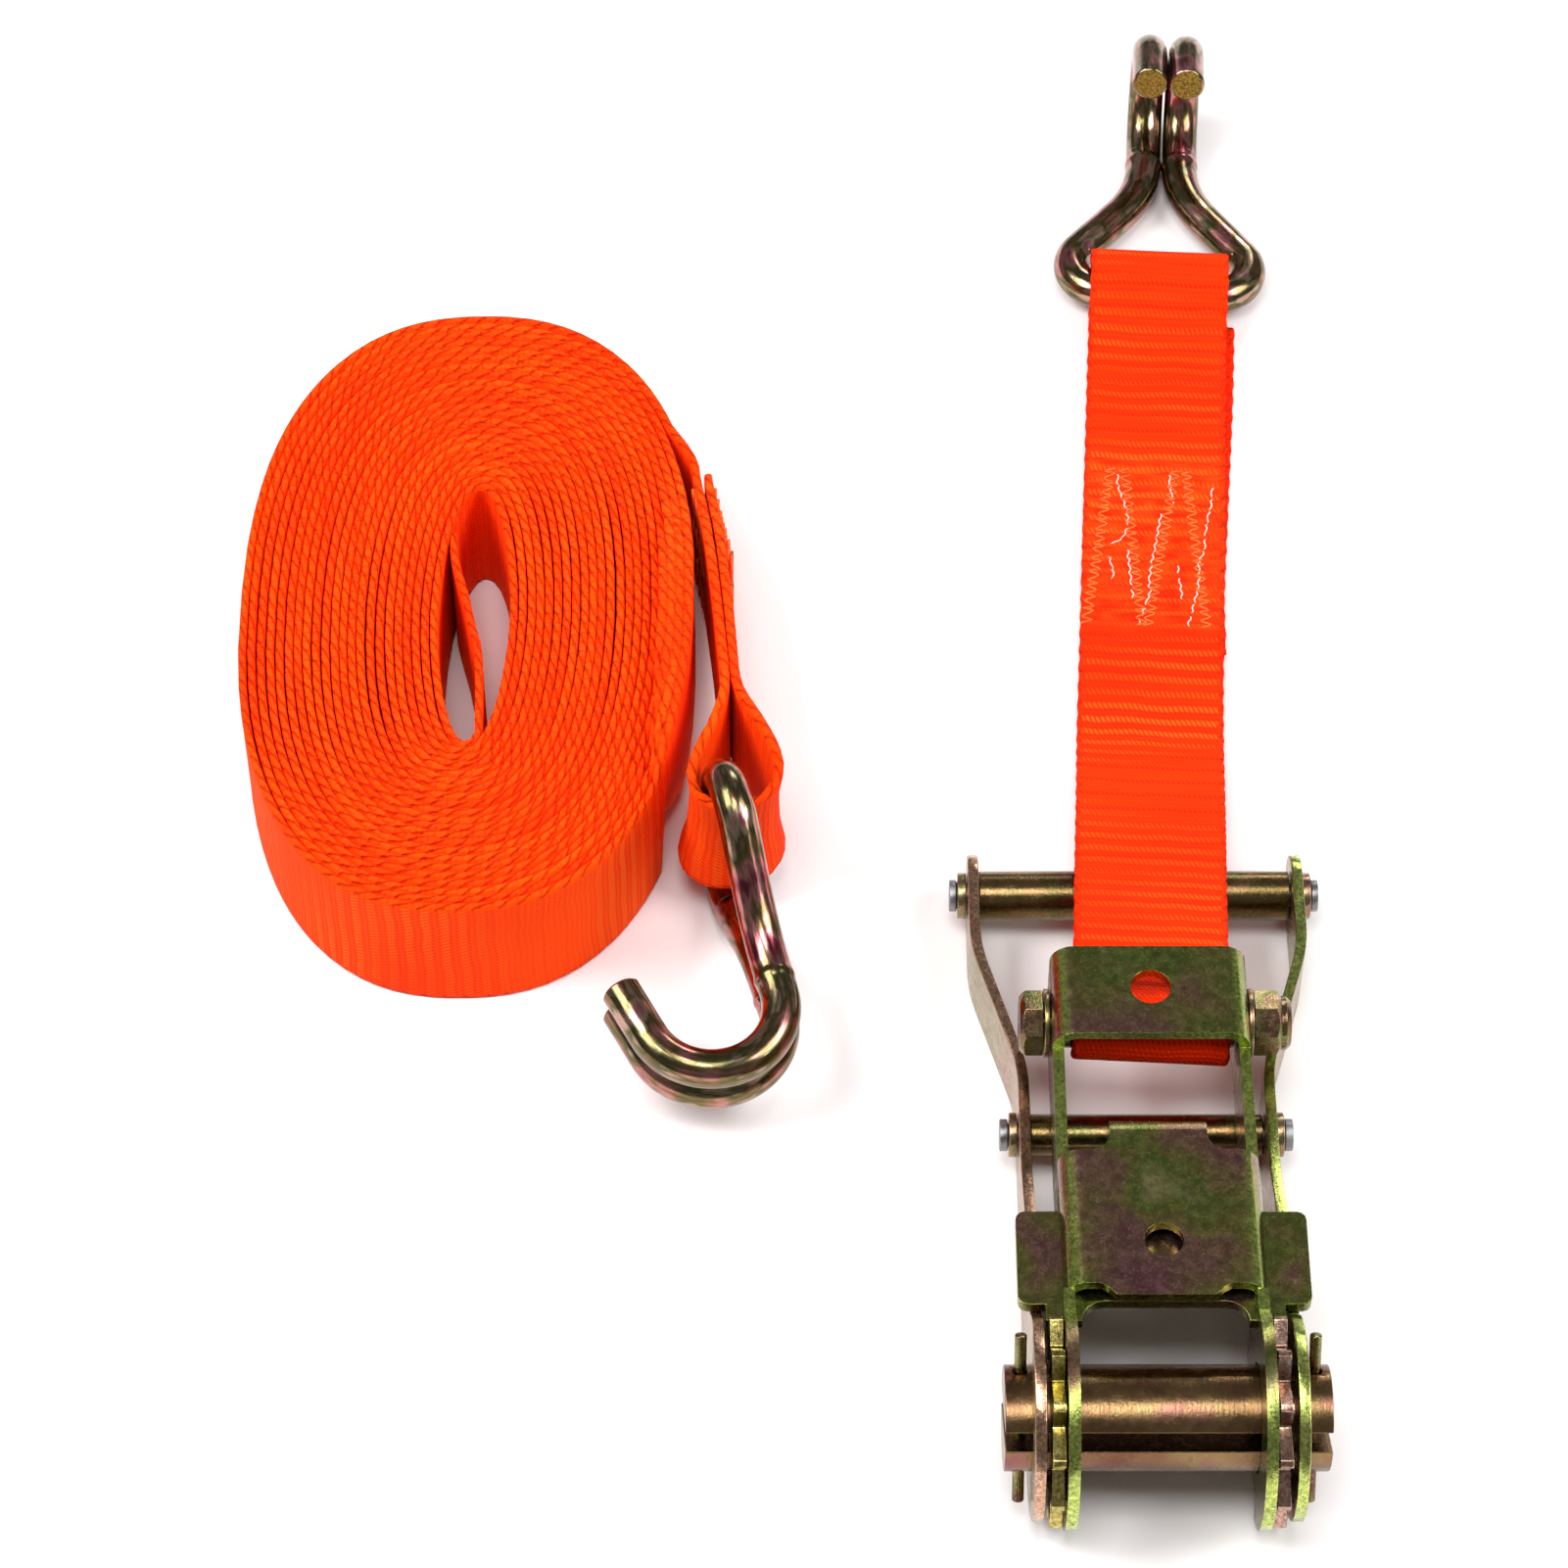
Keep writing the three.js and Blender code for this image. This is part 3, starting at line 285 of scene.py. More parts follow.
SMALL_BEVEL = 0.25
BEVEL_ANGLE = math.radians(33)
BEVELS = {"frame": 0.45, "handle_plate_left": 0.45, "handle_plate_right": 0.45, "locking_pawl": 0.4,
          "drive_pawl": 0.4, "ratchet_wheel_left": 0.3, "ratchet_wheel_right": 0.3,
          "drum_half_upper": 0.55, "drum_half_lower": 0.55}


def finish_node(name):
    """A carried-over CAD node gets its plating, rolled edges and smooth curved faces."""
    node = nodes[name]
    node.data.materials.clear()
    node.data.materials.append(node_looks[name])
    for polygon in node.data.polygons:
        polygon.use_smooth = True
    weld = node.modifiers.new("weld", "WELD")
    weld.merge_threshold = 1e-6
    bevel = node.modifiers.new("rolled edges", "BEVEL")
    bevel.width = BEVELS.get(name, SMALL_BEVEL) * MM
    bevel.segments = 2
    bevel.limit_method = "ANGLE"
    bevel.angle_limit = BEVEL_ANGLE
    bevel.harden_normals = True
    bevel.use_clamp_overlap = True
    flat = node.modifiers.new("flat faces stay flat", "WEIGHTED_NORMAL")
    flat.mode = "FACE_AREA"
    flat.weight = 100


for node_name in node_looks:
    finish_node(node_name)


# ------------------------------------------------------------------ geometry helpers
def link(name, mesh, material):
    made = bpy.data.objects.new(name, mesh)
    bpy.context.scene.collection.objects.link(made)
    mesh.materials.append(material)
    return made


def lerp(a, b, t):
    return a + (b - a) * t


def smooth(edge0, edge1, x):
    t = min(1.0, max(0.0, (x - edge0) / (edge1 - edge0)))
    return t * t * (3 - 2 * t)


def lengths(points):
    out = [0.0]
    for a, b in zip(points, points[1:]):
        out.append(out[-1] + (b - a).length)
    return out


def resample(points, step):
    """Evenly spaced points along a polyline."""
    along = lengths(points)
    count = max(2, round(along[-1] / step) + 1)
    out, i = [], 0
    for k in range(count):
        target = along[-1] * k / (count - 1)
        while i < len(points) - 2 and along[i + 1] < target:
            i += 1
        t = (target - along[i]) / max(along[i + 1] - along[i], 1e-12)
        out.append(points[i].lerp(points[i + 1], min(1.0, t)))
    return out


def catmull(points, per):
    """A smooth curve through the points, with that many steps between two of them."""
    ends = [2 * points[0] - points[1]] + list(points) + [2 * points[-1] - points[-2]]
    out = []
    for a, b, c, d in zip(ends, ends[1:], ends[2:], ends[3:]):
        for k in range(per):
            t = k / per
            out.append(0.5 * (2 * b + (c - a) * t + (2 * a - 5 * b + 4 * c - d) * t * t
                              + (3 * b - a - 3 * c + d) * t ** 3))
    out.append(points[-1].copy())
    return out


def add_uvs(mesh, name, value):
    """A UV layer; value gives the pair of numbers of a vertex."""
    data = []
    for polygon in mesh.polygons:
        for vertex in polygon.vertices:
            data.extend(value(vertex))
    mesh.uv_layers.new(name=name).data.foreach_set("uv", data)


def sweep(name, rows, material, uvs, through=None, zones=None):
    """A closed skin over rows of points, with UVs in metres: u along, v round the section. A second set
    of UVs can hold the place through the thickness and how strongly each row is sewn."""
    count = len(rows[0])
    mesh = bpy.data.meshes.new(name)
    verts = [p for row in rows for p in row]
    faces = []
    for i in range(len(rows) - 1):
        for j in range(count):
            k = (j + 1) % count
            faces.append((i * count + j, i * count + k, (i + 1) * count + k, (i + 1) * count + j))
    faces.append(tuple(reversed(range(count))))
    faces.append(tuple(range((len(rows) - 1) * count, len(rows) * count)))
    mesh.from_pydata(verts, [], faces)
    mesh.polygons.foreach_set("use_smooth", [True] * len(faces))
    add_uvs(mesh, "UVMap", lambda vertex: uvs[vertex // count][vertex % count])
    if through:
        add_uvs(mesh, "Thickness", lambda vertex: (through[vertex % count], zones[vertex // count]))
    mesh.validate()
    mesh.update()
    return link(name, mesh, material)


# ------------------------------------------------------------------ webbing
WEB_WIDTH = 35 * MM
WEB_THICK = 1.9 * MM
ORANGE = (0.90, 0.020, 0.0004)
ORANGE_LIGHT = (0.95, 0.036, 0.0008)
# painted highlight colour for raised ribs and gathers, also used for fine flecks on the selvedges
ORANGE_HIGHLIGHT_AND_FLECK = (1.0, 0.110, 0.009)
# painted shade colour for the weave's hollows, the creases between gathers and the gaps between selvedge
# strands
ORANGE_PAINTED_SHADE = (0.50, 0.007, 0.0005)


def web_section():
    """Section of one webbing, faces a little sunken between full round selvedges. Returns pairs
    (across, out) in metres, out along the webbing's face direction."""
    half, edge = WEB_WIDTH / 2, WEB_THICK / 2
    across = [-0.97, -0.85, -0.7, -0.5, -0.25, 0, 0.25, 0.5, 0.7, 0.85, 0.97]
    faces = [(a * (half - edge), edge * (0.93 if abs(a) < 0.9 else 1.0)) for a in across]

    def selvedge(middle, degrees):
        angles = [math.radians(angle) for angle in degrees]
        return [(middle + edge * math.cos(t), edge * math.sin(t)) for t in angles]

    ring = faces + selvedge(half - edge, (60, 30, 0, -30, -60))
    ring += [(a, -out) for a, out in reversed(faces)]
    ring += selvedge(edge - half, (-120, -150, 180, 150, 120))
    return ring


# periods of the weave along the webbing and across it, in metres
RIB, WARP = 0.0014, 0.0012
BAND = 3 * RIB
TICK_ROW = 4 * RIB
STRAND_ALONG, STRAND_THROUGH = 0.0048, 0.0017


def webbing_material(name, yarn, light_yarn, highlight_and_fleck_yarn, ticks):
    """Plain-woven polyester: fine transverse ribs of slanting yarn floats, and plaited selvedges, with
    painted shade in the weave's hollows and painted highlights on its raised ribs and gathers.
    The UVs are in metres: u along the webbing, v across it, and the second set through its thickness."""
    s = Shader(name)
    uv = s.node("UVMap", uv_map="UVMap").outputs[0]
    u, v, _ = s.split(uv)
    through, zone, _ = s.split(s.node("UVMap", uv_map="Thickness").outputs[0])
    # ribs of the weft, a little uneven along the webbing
    along = s.math("ADD", u, s.times(s.noise(uv, 90, 2, 0.5, stretch=(0.5, 1, 1)), 0.0022))
    rib = s.span(s.wave(along, RIB), -1, 1)
    # each third rib stands out, in bands that come and go, and gets a painted highlight
    band = s.span(s.wave(along, BAND), -0.2, 1)
    strong = s.span(s.noise(uv, 30, 2, 0.5, stretch=(1.0, 0.25, 1)), 0.42, 0.62)
    standing = s.times(band, strong)
    # warp yarns seen as short slanting floats
    slant = s.math("ADD", v, s.times(along, 0.45))
    warp = s.span(s.wave(slant, WARP), -1, 1)
    # the gaps between the ribs, where the warp floats lie; painted shade darkens them below
    tick = s.times(warp, s.math("SUBTRACT", 1.0, rib))
    # rows of sunken ticks, one each four ribs, darkened with painted shade
    row = s.span(s.wave(along, TICK_ROW), 0.72, 0.95)
    row = s.times(s.times(row, warp), s.span(strong, 1, 0, 0.25, 1.0))
    # gathers between the stitches of the sewn zone, with painted shade in the hollows between them and a
    # painted highlight on their tops
    gather = s.noise(uv, 1.0, 2, 0.6, stretch=(330, 120, 1))
    gather = s.times(s.span(gather, 0.36, 0.64), zone)
    # plaited selvedge: slanting strands round the webbing's edge, with painted shade between them
    edge = s.span(s.math("ABSOLUTE", v), 0.0158, 0.0167)
    face_only = s.math("SUBTRACT", 1.0, edge)
    strand = s.math("ADD", s.times(u, 2 * math.pi / STRAND_ALONG),
                    s.times(through, 2 * math.pi / STRAND_THROUGH))
    strand = s.math("ADD", strand, s.times(s.noise(uv, 160, 2, 0.6, stretch=(1, 0.2, 1)), 9.0))
    plait = s.span(s.math("ABSOLUTE", s.math("SINE", s.times(strand, 0.5))), 0.0, 0.7)
    fleck = s.noise(uv, 1500, 2, 0.6)
    tone = s.noise(uv, 16, 3, 0.6, stretch=(1, 0.5, 1))
    # colour: a random tone, then painted shade in the hollows and painted highlights on the raised parts
    colour = s.mix(s.span(tone, 0.35, 0.7), yarn, light_yarn)
    # painted shade in the gaps between the ribs, stronger where the ribs stand out
    colour = s.mix(s.times(tick, s.span(strong, 0, 1, 0.30, 0.62)), colour, ORANGE_PAINTED_SHADE)
    # painted shade in the sunken tick rows, as strong as the ticks argument
    colour = s.mix(s.times(row, ticks), colour, ORANGE_PAINTED_SHADE)
    # painted shade in the sewn zone's hollows between the gathers
    colour = s.mix(s.times(s.math("SUBTRACT", zone, gather), 0.42), colour, ORANGE_PAINTED_SHADE)
    # painted highlight on the raised gathers
    colour = s.mix(s.times(gather, 0.26), colour, highlight_and_fleck_yarn)
    # painted highlight on the ribs that stand out, on the faces only
    light = s.times(standing, s.span(warp, 0.9, 0.1, 0.1, 1.0))
    colour = s.mix(s.times(light, face_only), colour, highlight_and_fleck_yarn)
    # painted shade in the hollows between the selvedge strands
    colour = s.mix(s.times(edge, s.span(plait, 0.6, 0.0, 0.0, 0.80)), colour, ORANGE_PAINTED_SHADE)
    colour = s.mix(s.times(edge, s.span(fleck, 0.5, 0.75, 0.0, 0.10)), colour, highlight_and_fleck_yarn)
    # relief
    body = s.math("ADD", s.times(rib, 0.55), s.times(warp, 0.3))
    body = s.math("ADD", body, s.times(standing, 0.7))
    face = s.times(body, face_only)
    face = s.math("ADD", face, s.math("SUBTRACT", s.times(gather, 2.0), s.times(row, 0.6)))
    height = s.math("ADD", face, s.times(s.times(plait, edge), 2.2))
    s.set(Base_Color=colour, Roughness=0.75, Specular_IOR_Level=0.05)
    s.set(Sheen_Weight=0.02, Sheen_Roughness=0.5, Sheen_Tint=(1.0, 0.30, 0.10, 1))
    s.set(Normal=s.bump(fleck, 0.00010, 0.5, over=s.bump(height, 0.00024, 0.9)))
    return s.material


# for both webbings the fourth colour is the painted highlight and fleck colour, and the last number is how
# strong the painted shade in the tick rows is
red_web = webbing_material("red_orange_webbing", ORANGE, ORANGE_LIGHT, ORANGE_HIGHLIGHT_AND_FLECK, 0.7)
warm_web = webbing_material("warm_orange_webbing", (0.93, 0.040, 0.0008), (0.98, 0.080, 0.002),
                            (1.0, 0.15, 0.010), 0.15)


def webbing_sweep(name, rows, along, ring, look, zones):
    """The webbing's skin from its rows of points (metres), with both sets of UVs."""
    uvs = [[(u * MM, a * MM) for a, _ in ring] for u in along]
    return sweep(name, rows, look, uvs, through=[o * MM for _, o in ring], zones=zones)


# ------------------------------------------------------------------ long strap: roll, tail and eye
roll_low, roll_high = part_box("long_strap_roll")
ROLL = Vector(((roll_low.x + roll_high.x) / 2, (roll_low.y + roll_high.y) / 2, roll_low.z)) / MM
OUTER_HALF, OUTER_POWER = (53.4, 90.6), 2.37
SLIT_HALF, SLIT_POWER, SLIT_AT = (6.9, 37.0), 1.8, (0.9, -4.0)
TURNS = 21.889
LAST_NORMAL = math.radians(20)
STEPS_PER_TURN = 110
TAIL_START_Y = 45.0
HALF_WIDTH = WEB_WIDTH / MM / 2
HOOK_TILT = math.radians(7)
HOOK_HEADING = math.radians(-74.2)
BAR = Vector((59.4, -103.8, 28.16))
TAIL_RISE = BAR.z - HALF_WIDTH


def oval(half, power, angle):
    """Point of an oval whose outward normal points at that angle."""
    q = power / (power - 1)
    c, s = math.cos(angle), math.sin(angle)
    support = ((half[0] * abs(c)) ** q + (half[1] * abs(s)) ** q) ** (1 / q)
    x = half[0] ** q * abs(c) ** (q - 1) / support ** (q - 1)
    y = half[1] ** q * abs(s) ** (q - 1) / support ** (q - 1)
    return Vector((math.copysign(x, c), math.copysign(y, s), 0))


# The free inner end's path, from its cut end to where it joins the innermost turn
FREE_END = [(-4.4, 21), (-4.2, 15), (-2.4, 7), (-0.6, 0), (1.0, -8), (2.7, -16)]


def roll_point(turns):
    """Middle of the webbing after a number of turns from the slit; it winds clockwise outwards."""
    angle = LAST_NORMAL + (TURNS - turns) * 2 * math.pi
    share = (turns + 0.5) / (TURNS + 0.15)
    inner = oval(SLIT_HALF, SLIT_POWER, angle) + Vector((*SLIT_AT, 0))
    outer = oval(OUTER_HALF, OUTER_POWER, angle)
    normal = Vector((math.cos(angle), math.sin(angle), 0))
    loose = 0.42 * noise(Vector((1.6 * math.cos(angle), 1.6 * math.sin(angle), turns * 0.29)))
    rough = 0.10 * noise(Vector((9 * math.cos(angle), 9 * math.sin(angle), turns * 0.9)))
    calm = smooth(TURNS, TURNS - 1.5, turns)
    return inner.lerp(outer, share) + normal * (loose + rough) * calm


def roll_path():
    """The free inner end across the slit, then the turns."""
    steps = range(int(TURNS * STEPS_PER_TURN) + 1)
    turns = [roll_point(t / STEPS_PER_TURN) for t in steps] + [roll_point(TURNS)]
    free = [Vector((*p, 0)) for p in FREE_END]
    return catmull(free + turns[2:5], 6)[:-12] + turns[4:]


TAIL_LEFT = [(52.3, 0), (53.7, -9), (56.2, -25), (58.25, -44), (59.75, -61), (60.7, -73)]
EYE_LOOP = [(60.2, -80), (57.6, -88), (54.6, -95), (53.3, -102), (54.2, -107), (57.4, -110), (61.5, -110.8),
            (66.0, -110.2), (69.9, -107.6), (72.2, -102.4), (71.4, -95), (68.2, -86.5), (64.6, -79)]
TAIL_RIGHT = [(63.1, -73), (62.2, -61), (60.8, -44), (58.9, -25), (57.0, -13), (56.1, -6)]
TAIL_THICK = 1.22
EYE_FLARE, EYE_NARROWING = 1.5, 0.8
SELVEDGE_UNEVEN = 0.62


def tail_climb(y):
    """Height of the tail's lower selvedge at that place, up to the hook's bar and past it."""
    return TAIL_RISE * max(0.0, min(1.0, y / BAR.y)) + math.tan(HOOK_TILT) * min(0.0, y - BAR.y)


def long_strap():
    start = Vector((0, TAIL_START_Y, 0))
    rolled = roll_path()
    tail = [Vector((*p, 0)) for p in TAIL_LEFT + EYE_LOOP + TAIL_RIGHT]
    tail = catmull([rolled[-1] - start] + tail, 8)[1:]
    plan = thin(rolled + [p + start for p in tail], 3.0)
    along = lengths(plan)
    ring = coarse_section()
    rows, zones = [], []
    for i, p in enumerate(plan):
        ahead = (plan[min(i + 1, len(plan) - 1)] - plan[max(i - 1, 0)]).normalized()
        face = Vector((ahead.y, -ahead.x, 0))
        at = p - start
        in_tail = i > len(plan) // 2 and at.x > 45 and at.y < 2
        eye = smooth(78, 97, -at.y) if in_tail else 0.0
        climb, thick = 0.0, 1.0
        if in_tail:
            climb = tail_climb(at.y)
            thick = lerp(1.0, TAIL_THICK, smooth(2, 20, -at.y))
            thick += 0.06 * noise(Vector((at.x, at.y * 0.3, 5)))
        # the upper selvedges of the turns stand at slightly different heights
        high = 0.0
        if not in_tail:
            high = SELVEDGE_UNEVEN * noise(Vector((p.x * 0.022, p.y * 0.022, along[i] * 0.0045)))
        wide = Vector((math.cos(HOOK_HEADING), math.sin(HOOK_HEADING), 0)) * math.tan(HOOK_TILT) * eye
        wide.z = 1
        out = Vector((at.x - BAR.x, at.y - BAR.y, 0)).normalized() if eye else Vector((0, 0, 0))
        row = []
        for a, o in ring:
            share = a / HALF_WIDTH
            spread = EYE_FLARE * eye * abs(share) ** 3 - EYE_NARROWING * eye * share
            middle = Vector((p.x, p.y, HALF_WIDTH + climb + high * max(0.0, share)))
            row.append((ROLL + middle + wide * a + face * o * thick + out * spread) * MM)
        rows.append(row)
        zones.append(smooth(-5, -9, at.y) * smooth(-38, -32, at.y) if in_tail else 0.0)
    return webbing_sweep("long_strap_webbing", rows, along, ring, warm_web, zones), along[-1] * MM


def coarse_section():
    """Section of the webbing in millimetres with few points on its faces and round selvedges."""
    edge = WEB_THICK / MM / 2
    flat = HALF_WIDTH - edge
    faces = [(a * flat, edge * (0.92 if abs(a) < 0.9 else 1)) for a in (-0.95, -0.5, 0, 0.5, 0.95)]
    right = [(flat + edge * math.cos(t), edge * math.sin(t)) for t in (1.1, 0.5, 0, -0.5, -1.1)]
    back = [(a, -o) for a, o in reversed(faces)]
    left = [(-a, -o) for a, o in right]
    return faces + right + back + left


def thin(points, step):
    """Leaves out points on nearly straight stretches."""
    out = [points[0]]
    for i in range(1, len(points) - 1):
        ahead = points[i + 1] - points[i]
        behind = points[i] - out[-1]
        if behind.length < 0.25:
            continue
        turn = behind.angle(ahead, 0) if ahead.length > 1e-6 else 0
        if behind.length >= step or turn > 0.16:
            out.append(points[i])
    out.append(points[-1])
    return out


long_piece, long_length = long_strap()
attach(long_piece, "long_strap_body")
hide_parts("long_strap_roll", "long_strap_tail")
print("long webbing", round(long_length, 3), "m", len(long_piece.data.vertices), "points")


# ------------------------------------------------------------------ sewing thread
def thread_material(name, colour, bright):
    s = Shader(name)
    fine = s.noise(s.object_place(), 2500, 2, 0.6)
    s.set(Base_Color=s.mix(s.span(fine, 0.35, 0.65), colour, bright))
    s.set(Roughness=0.6, Specular_IOR_Level=0.3, Normal=s.bump(fine, 0.0001, 0.6))
    return s.material


pale_thread = thread_material("pale_thread", (0.78, 0.36, 0.30), (0.95, 0.72, 0.66))
orange_thread = thread_material("orange_thread", (0.95, 0.05, 0.003), (1.0, 0.20, 0.03))


def tube(name, path, radii, material, sides=28):
    """A round bar along a path, its frame turned as little as possible, ends closed by flat discs."""
    rows, uvs = [], []
    along = lengths(path)
    side = Vector((0, 0, 1))
    for i, p in enumerate(path):
        ahead = (path[min(i + 1, len(path) - 1)] - path[max(i - 1, 0)]).normalized()
        if i == 0 and abs(ahead.z) > 0.9:
            side = Vector((1, 0, 0))
        side = (side - ahead * side.dot(ahead)).normalized()
        other = ahead.cross(side)
        turns = [2 * math.pi * k / sides for k in range(sides)]
        rows.append([p + (side * math.cos(t) + other * math.sin(t)) * radii[i] for t in turns])
        uvs.append([(along[i], radii[i] * t) for t in turns])
    return sweep(name, rows, material, uvs)


def stitches(name, lines, radius, material, body, place):
    """Sewing threads as thin tubes in one piece; the lines are in millimetres."""
    parts = []
    for k, line in enumerate(lines):
        path = [p * MM for p in line]
        parts.append(tube(f"{name}_{k}", path, [radius * MM] * len(path), material, sides=6))
    made = merged(name, parts)
    made.data.transform(place)
    made.data.update()
    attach(made, body)


def merged(name, parts):
    """Several made pieces joined in one mesh."""
    whole = bmesh.new()
    for part in parts:
        whole.from_mesh(part.data)
    mesh = bpy.data.meshes.new(name)
    whole.to_mesh(mesh)
    whole.free()
    material = parts[0].data.materials[0]
    for part in parts:
        bpy.data.objects.remove(part)
    return link(name, mesh, material)


TAIL_SEAM_Y, TAIL_SEAM_LENGTH = -9, 24      # from the near end of the seam, millimetres
TAIL_SEAM_X = (55.0, 59.5)                  # middle of the two plies at the seam's ends
TAIL_SEAM_OUT = 2.35
ZIGZAG, ZIGZAG_GAP = 5.2, 11.0


def tail_stitches():
    """Heavy zigzag sewing near the cut end of the tail, bulging on both of its faces."""
    lines = []
    for side in (-1, 1):
        for row in (-1, 0, 1):
            line = []
            for k in range(TAIL_SEAM_LENGTH + 1):
                y = TAIL_SEAM_Y - k
                x = lerp(*TAIL_SEAM_X, k / TAIL_SEAM_LENGTH)
                x += side * (TAIL_SEAM_OUT + 0.25 * math.sin(k * 1.7))
                z = HALF_WIDTH + TAIL_RISE * y / BAR.y + (k % 2 * 2 - 1) * ZIGZAG + row * ZIGZAG_GAP
                line.append(Vector((x, y + TAIL_START_Y, z)))
            lines.append(catmull(line, 2))
    return lines


stitches("tail_stitches", tail_stitches(), 0.5, orange_thread, "long_strap_body",
         Matrix.Translation(ROLL * MM))


# ------------------------------------------------------------------ wire hooks
WIRE_R = 4.5
HOOK = {"half": 22.7, "corner": 9.2, "shank": 50.5, "bend": 15.8, "turn": math.radians(166), "tip": 13.7,
        "apart": 4.7, "flare": math.radians(53), "blend": 11}


def hook_half():
    """One half of the wire's centreline in the hook's own frame, from the bar to the tip."""
    h = HOOK
    cx = h["half"] - h["corner"]
    points = [Vector((t * cx, 0, 0)) for t in (0, 0.25, 0.5, 0.75, 0.92)]
    up = math.pi / 2 - h["flare"]
    for i in range(23):
        a = lerp(-math.pi / 2, up, i / 22)
        points.append(Vector((cx + h["corner"] * math.cos(a), h["corner"] + h["corner"] * math.sin(a), 0)))
    start = points[-1]
    run = Vector((-math.cos(h["flare"]), math.sin(h["flare"]), 0))
    apex = start + run * ((start.x - h["apart"]) / math.cos(h["flare"]))
    a, c = apex - run * h["blend"], apex + Vector((0, h["blend"], 0))
    points += [start.lerp(a, i / 4) for i in range(1, 4)]
    steps = [i / 16 for i in range(17)]
    points += [a * (1 - t) ** 2 + apex * 2 * t * (1 - t) + c * t * t for t in steps]
    join = len(points) - 1
    points += [c + Vector((0, (h["shank"] - c.y) * t / 8, 0)) for t in range(1, 8)]
    for i in range(33):
        t = h["turn"] * i / 32
        round_bend = h["bend"] * Vector((0, math.sin(t), 1 - math.cos(t)))
        points.append(Vector((h["apart"], h["shank"], 0)) + round_bend)
    end = points[-1]
    ahead = Vector((0, math.cos(h["turn"]), math.sin(h["turn"])))
    points += [end + ahead * h["tip"] * t for t in (0.3, 0.6, 0.85, 1.0)]
    return points, join


def hook_material():
    """Polished wire with bands of interference colours along it, and a few draw marks."""
    s = Shader("hook_plating")
    place = s.object_place()
    uv = s.node("UVMap", uv_map="UVMap").outputs[0]
    cloud = s.noise(place, 70, 2.5, 0.6)
    streak = s.noise(uv, 1.0, 3, 0.6, stretch=(60, 380, 1))
    film = s.math("ADD", s.math("MULTIPLY", cloud, 0.6), s.math("MULTIPLY", streak, 0.4))
    colour = s.ramp(s.span(film, 0.36, 0.64), [
        (0.0, (0.17, 0.032, 0.042)), (0.25, (0.45, 0.19, 0.18)), (0.42, (0.20, 0.12, 0.06)),
        (0.58, (0.08, 0.085, 0.032)), (0.76, (0.42, 0.28, 0.20)), (1.0, (0.38, 0.13, 0.15))])
    marks = s.noise(uv, 1.0, 2, 0.7, stretch=(260, 1500, 1))
    colour = s.mix(s.span(marks, 0.38, 0.30, 0.0, 0.7), colour, (0.04, 0.025, 0.015))
    s.set(Base_Color=colour, Metallic=1.0, Roughness=s.span(marks, 0.3, 0.7, 0.14, 0.24))
    s.set(Normal=s.bump(marks, 0.00004, 0.5))
    return s.material


def tip_material():
    """The sawn ends of the wire, plated olive gold."""
    s = Shader("hook_end_plating")
    fine = s.noise(s.object_place(), 1500, 3, 0.7)
    s.set(Base_Color=s.ramp(fine, [(0.35, (0.10, 0.09, 0.015)), (0.6, (0.36, 0.33, 0.07))]))
    s.set(Metallic=1.0, Roughness=0.42, Normal=s.bump(fine, 0.00015, 0.8))
    return s.material


hook_look, tip_look = hook_material(), tip_material()


RIDGE, RIDGE_WIDTH = 0.28, 1.1
TIP_CHAMFER = 0.6
HOOK_SMOOTHING = 3


def make_hook(name, node, body, place):
    half, join = hook_half()
    path = [Vector((-p.x, p.y, p.z)) for p in reversed(half[1:])] + half
    joins = (len(half) - 1 - join, len(half) - 1 + join)
    path = [p * MM for p in catmull(path, HOOK_SMOOTHING)]
    along = lengths(path)
    # the press leaves a small ridge where each flare meets its shank
    ridges = [along[k * HOOK_SMOOTHING] for k in joins]
    radii = []
    for u in along:
        bumps = sum(math.exp(-((u - ridge) / (RIDGE_WIDTH * MM)) ** 2) for ridge in ridges)
        radii.append((WIRE_R + RIDGE * bumps) * MM)
    # each sawn end has a small chamfer; the far end is one place on once the near end has its point
    far = len(path)
    for end, step, place_at in ((0, 1, 1), (far, -1, far)):
        inward = (path[end + step] - path[end]).normalized() * TIP_CHAMFER * MM
        radii[end] = (WIRE_R - TIP_CHAMFER) * MM
        path.insert(place_at, path[end] + inward)
        radii.insert(place_at, WIRE_R * MM)
    hook = tube(name, path, radii, hook_look, sides=32)
    hook.data.materials.append(tip_look)
    for polygon in hook.data.polygons:
        if len(polygon.vertices) > 4:
            polygon.material_index = 1
            polygon.use_smooth = False
    hook.data.transform(place)
    hook.data.update()
    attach(hook, body)
    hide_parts(node)


def joint_place(name):
    return Vector(joints[name]["pos_m"])


SIDEWAYS = Vector((1, 0, 0))
STRAP_YAW = math.radians(-3.3)
STRAP_SHIFT = 0.6
SHORT_HOOK_DIP = math.radians(-2)
short_place = (Matrix.Translation(joint_place("short_hook_swing")) @ Matrix.Rotation(STRAP_YAW, 4, "Z")
               @ Matrix.Rotation(SHORT_HOOK_DIP, 4, "X"))
long_place = (Matrix.Translation(joint_place("long_hook_swing"))
              @ Matrix.Rotation(HOOK_HEADING - math.pi / 2, 4, "Z")
              @ Matrix.Rotation(-HOOK_TILT, 4, "X") @ Matrix.Rotation(math.pi / 2, 4, "Y"))
make_hook("short_strap_wire_hook", "short_strap_hook", "short_hook_body", short_place)
make_hook("long_strap_wire_hook", "long_strap_hook", "long_hook_body", long_place)


